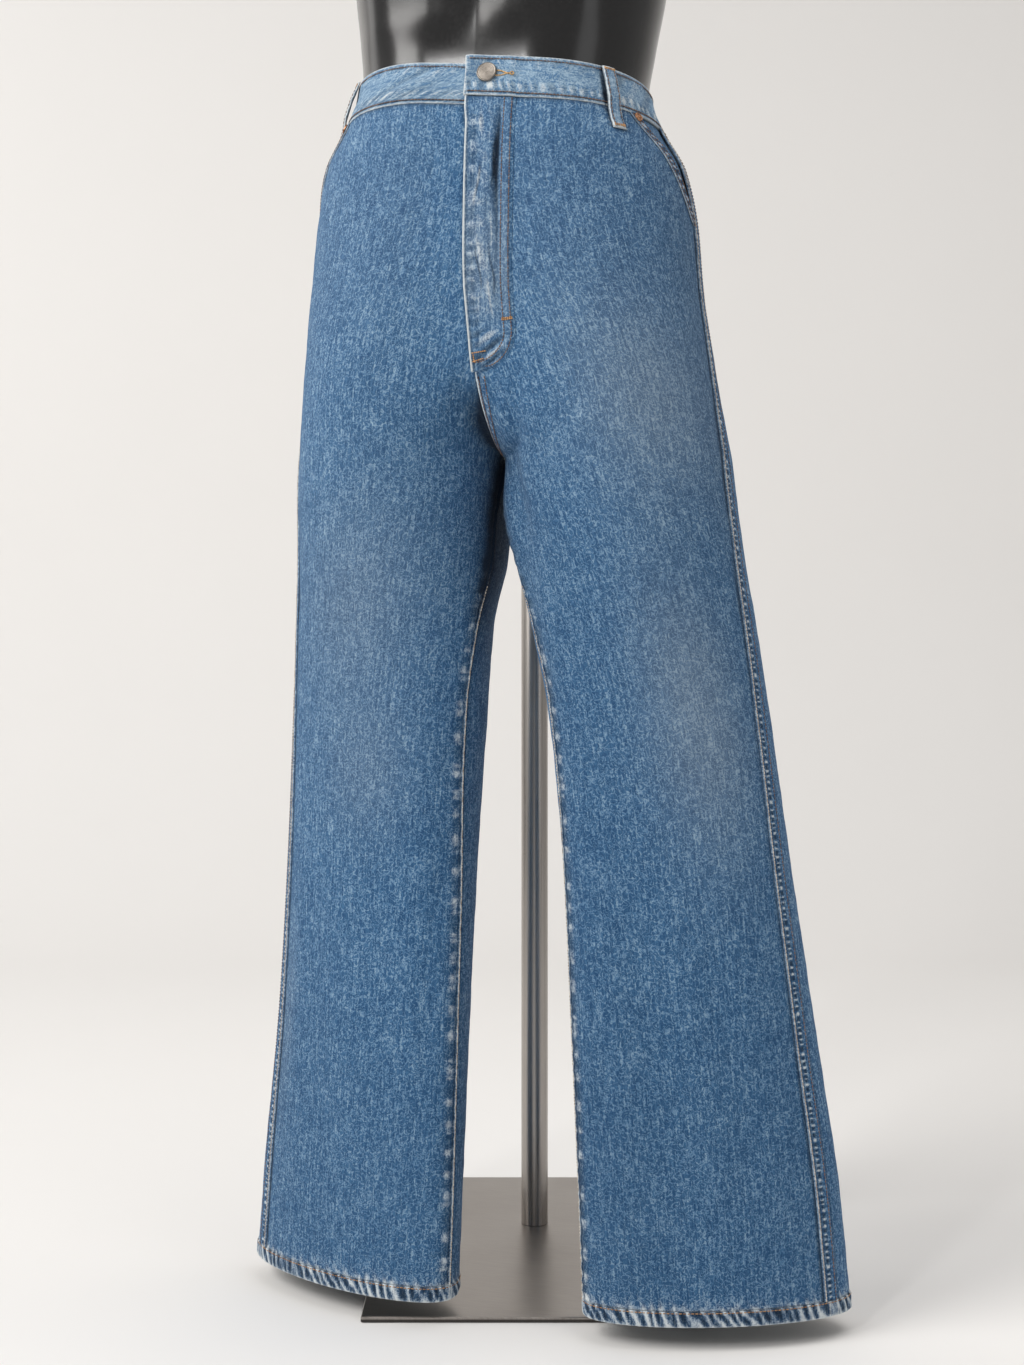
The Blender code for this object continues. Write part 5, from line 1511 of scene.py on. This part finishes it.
def build_camera_and_light():
    data = bpy.data.cameras.new("camera")
    data.lens, data.sensor_width = CAMERA_LENS, 36.0
    data.clip_start, data.clip_end = 0.01, 50.0
    camera = link(bpy.data.objects.new("camera", data))
    camera.location = CAMERA_PLACE
    camera.rotation_euler = (math.pi / 2, 0, CAMERA_TURN)
    scene = bpy.context.scene
    scene.camera = camera
    scene.world = bpy.data.worlds.new("studio")
    scene.world.use_nodes = True
    background = scene.world.node_tree.nodes["Background"].inputs
    background["Color"].default_value = (1.0, 0.985, 0.965, 1.0)
    background["Strength"].default_value = 0.355
    scene.view_settings.view_transform = "Standard"
    for name, place, aim, size, power, colour in LAMPS:
        data = bpy.data.lights.new(name, "AREA")
        data.shape = "RECTANGLE"
        data.size, data.size_y = size
        data.energy, data.color = power, colour
        lamp = link(bpy.data.objects.new(name, data))
        lamp.location = place
        lamp.rotation_mode = "QUATERNION"
        lamp.rotation_quaternion = (Vector(place) - Vector(aim)).to_track_quat("Z", "Y")


def hard_piece(obj, node):
    """Puts a hard piece in its node's place."""
    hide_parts(node)
    return obj


def sheet_piece(obj, node, with_pieces=()):
    """Puts a cloth piece in its node's place."""
    hard_piece(obj, node)


def build_all():
    build_camera_and_light()
    build_stage()
    hard_piece(build_form(), "dress_form")
    back_z = panel_heights(YOKE_SIDE_Z - SEAM_HALF_GAP)
    yoke_z = np.linspace(YOKE_SIDE_Z + SEAM_HALF_GAP, WAIST_SEAM_Z, 14)[:, None]
    for side in (+1, -1):
        for kind, obj, with_pieces in (
                ("front", build_front(side), inseam_stitches(side)),
                ("back", build_back(side, back_z, "back_"), back_stitches(side)),
                ("yoke", build_back(side, yoke_z, "yoke_"), []),
                ("hem", build_hem(side), hem_stitches(side)),
                ("outseam", build_outseam(side), outseam_stitches(side)),
                ("pocket_facing", build_pocket_facing(side), []),
                ("pocket_edge", build_pocket_edge(side), pocket_stitches(side)),
                ("back_pocket", build_back_pocket(side), [])):
            sheet_piece(obj, kind + "_" + side_name(side), with_pieces)
        hard_piece(build_rivet(side), "rivet_" + side_name(side))
    sheet_piece(build_fly(), "fly_placket", [fly_stitches(), bartacks()])
    sheet_piece(build_waistband(), "waistband", [band_stitches(), buttonhole()])
    loop_rows = loop_stitches()
    for loop in LOOPS:
        with_pieces = loop_rows if loop[0] == "front_left" else ()
        sheet_piece(build_loop(loop), "belt_loop_" + loop[0], with_pieces)
    hard_piece(build_button(), "button")
    hard_piece(build_pole(), "stand_pole")
    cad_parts["stand_arm"].material_slots[0].material = POLE_STEEL
    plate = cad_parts["base_plate"]
    plate.material_slots[0].material = PLATE_STEEL
    edges = plate.modifiers.new("eased_edges", "BEVEL")
    edges.width, edges.segments = 0.0007, 3


build_all()
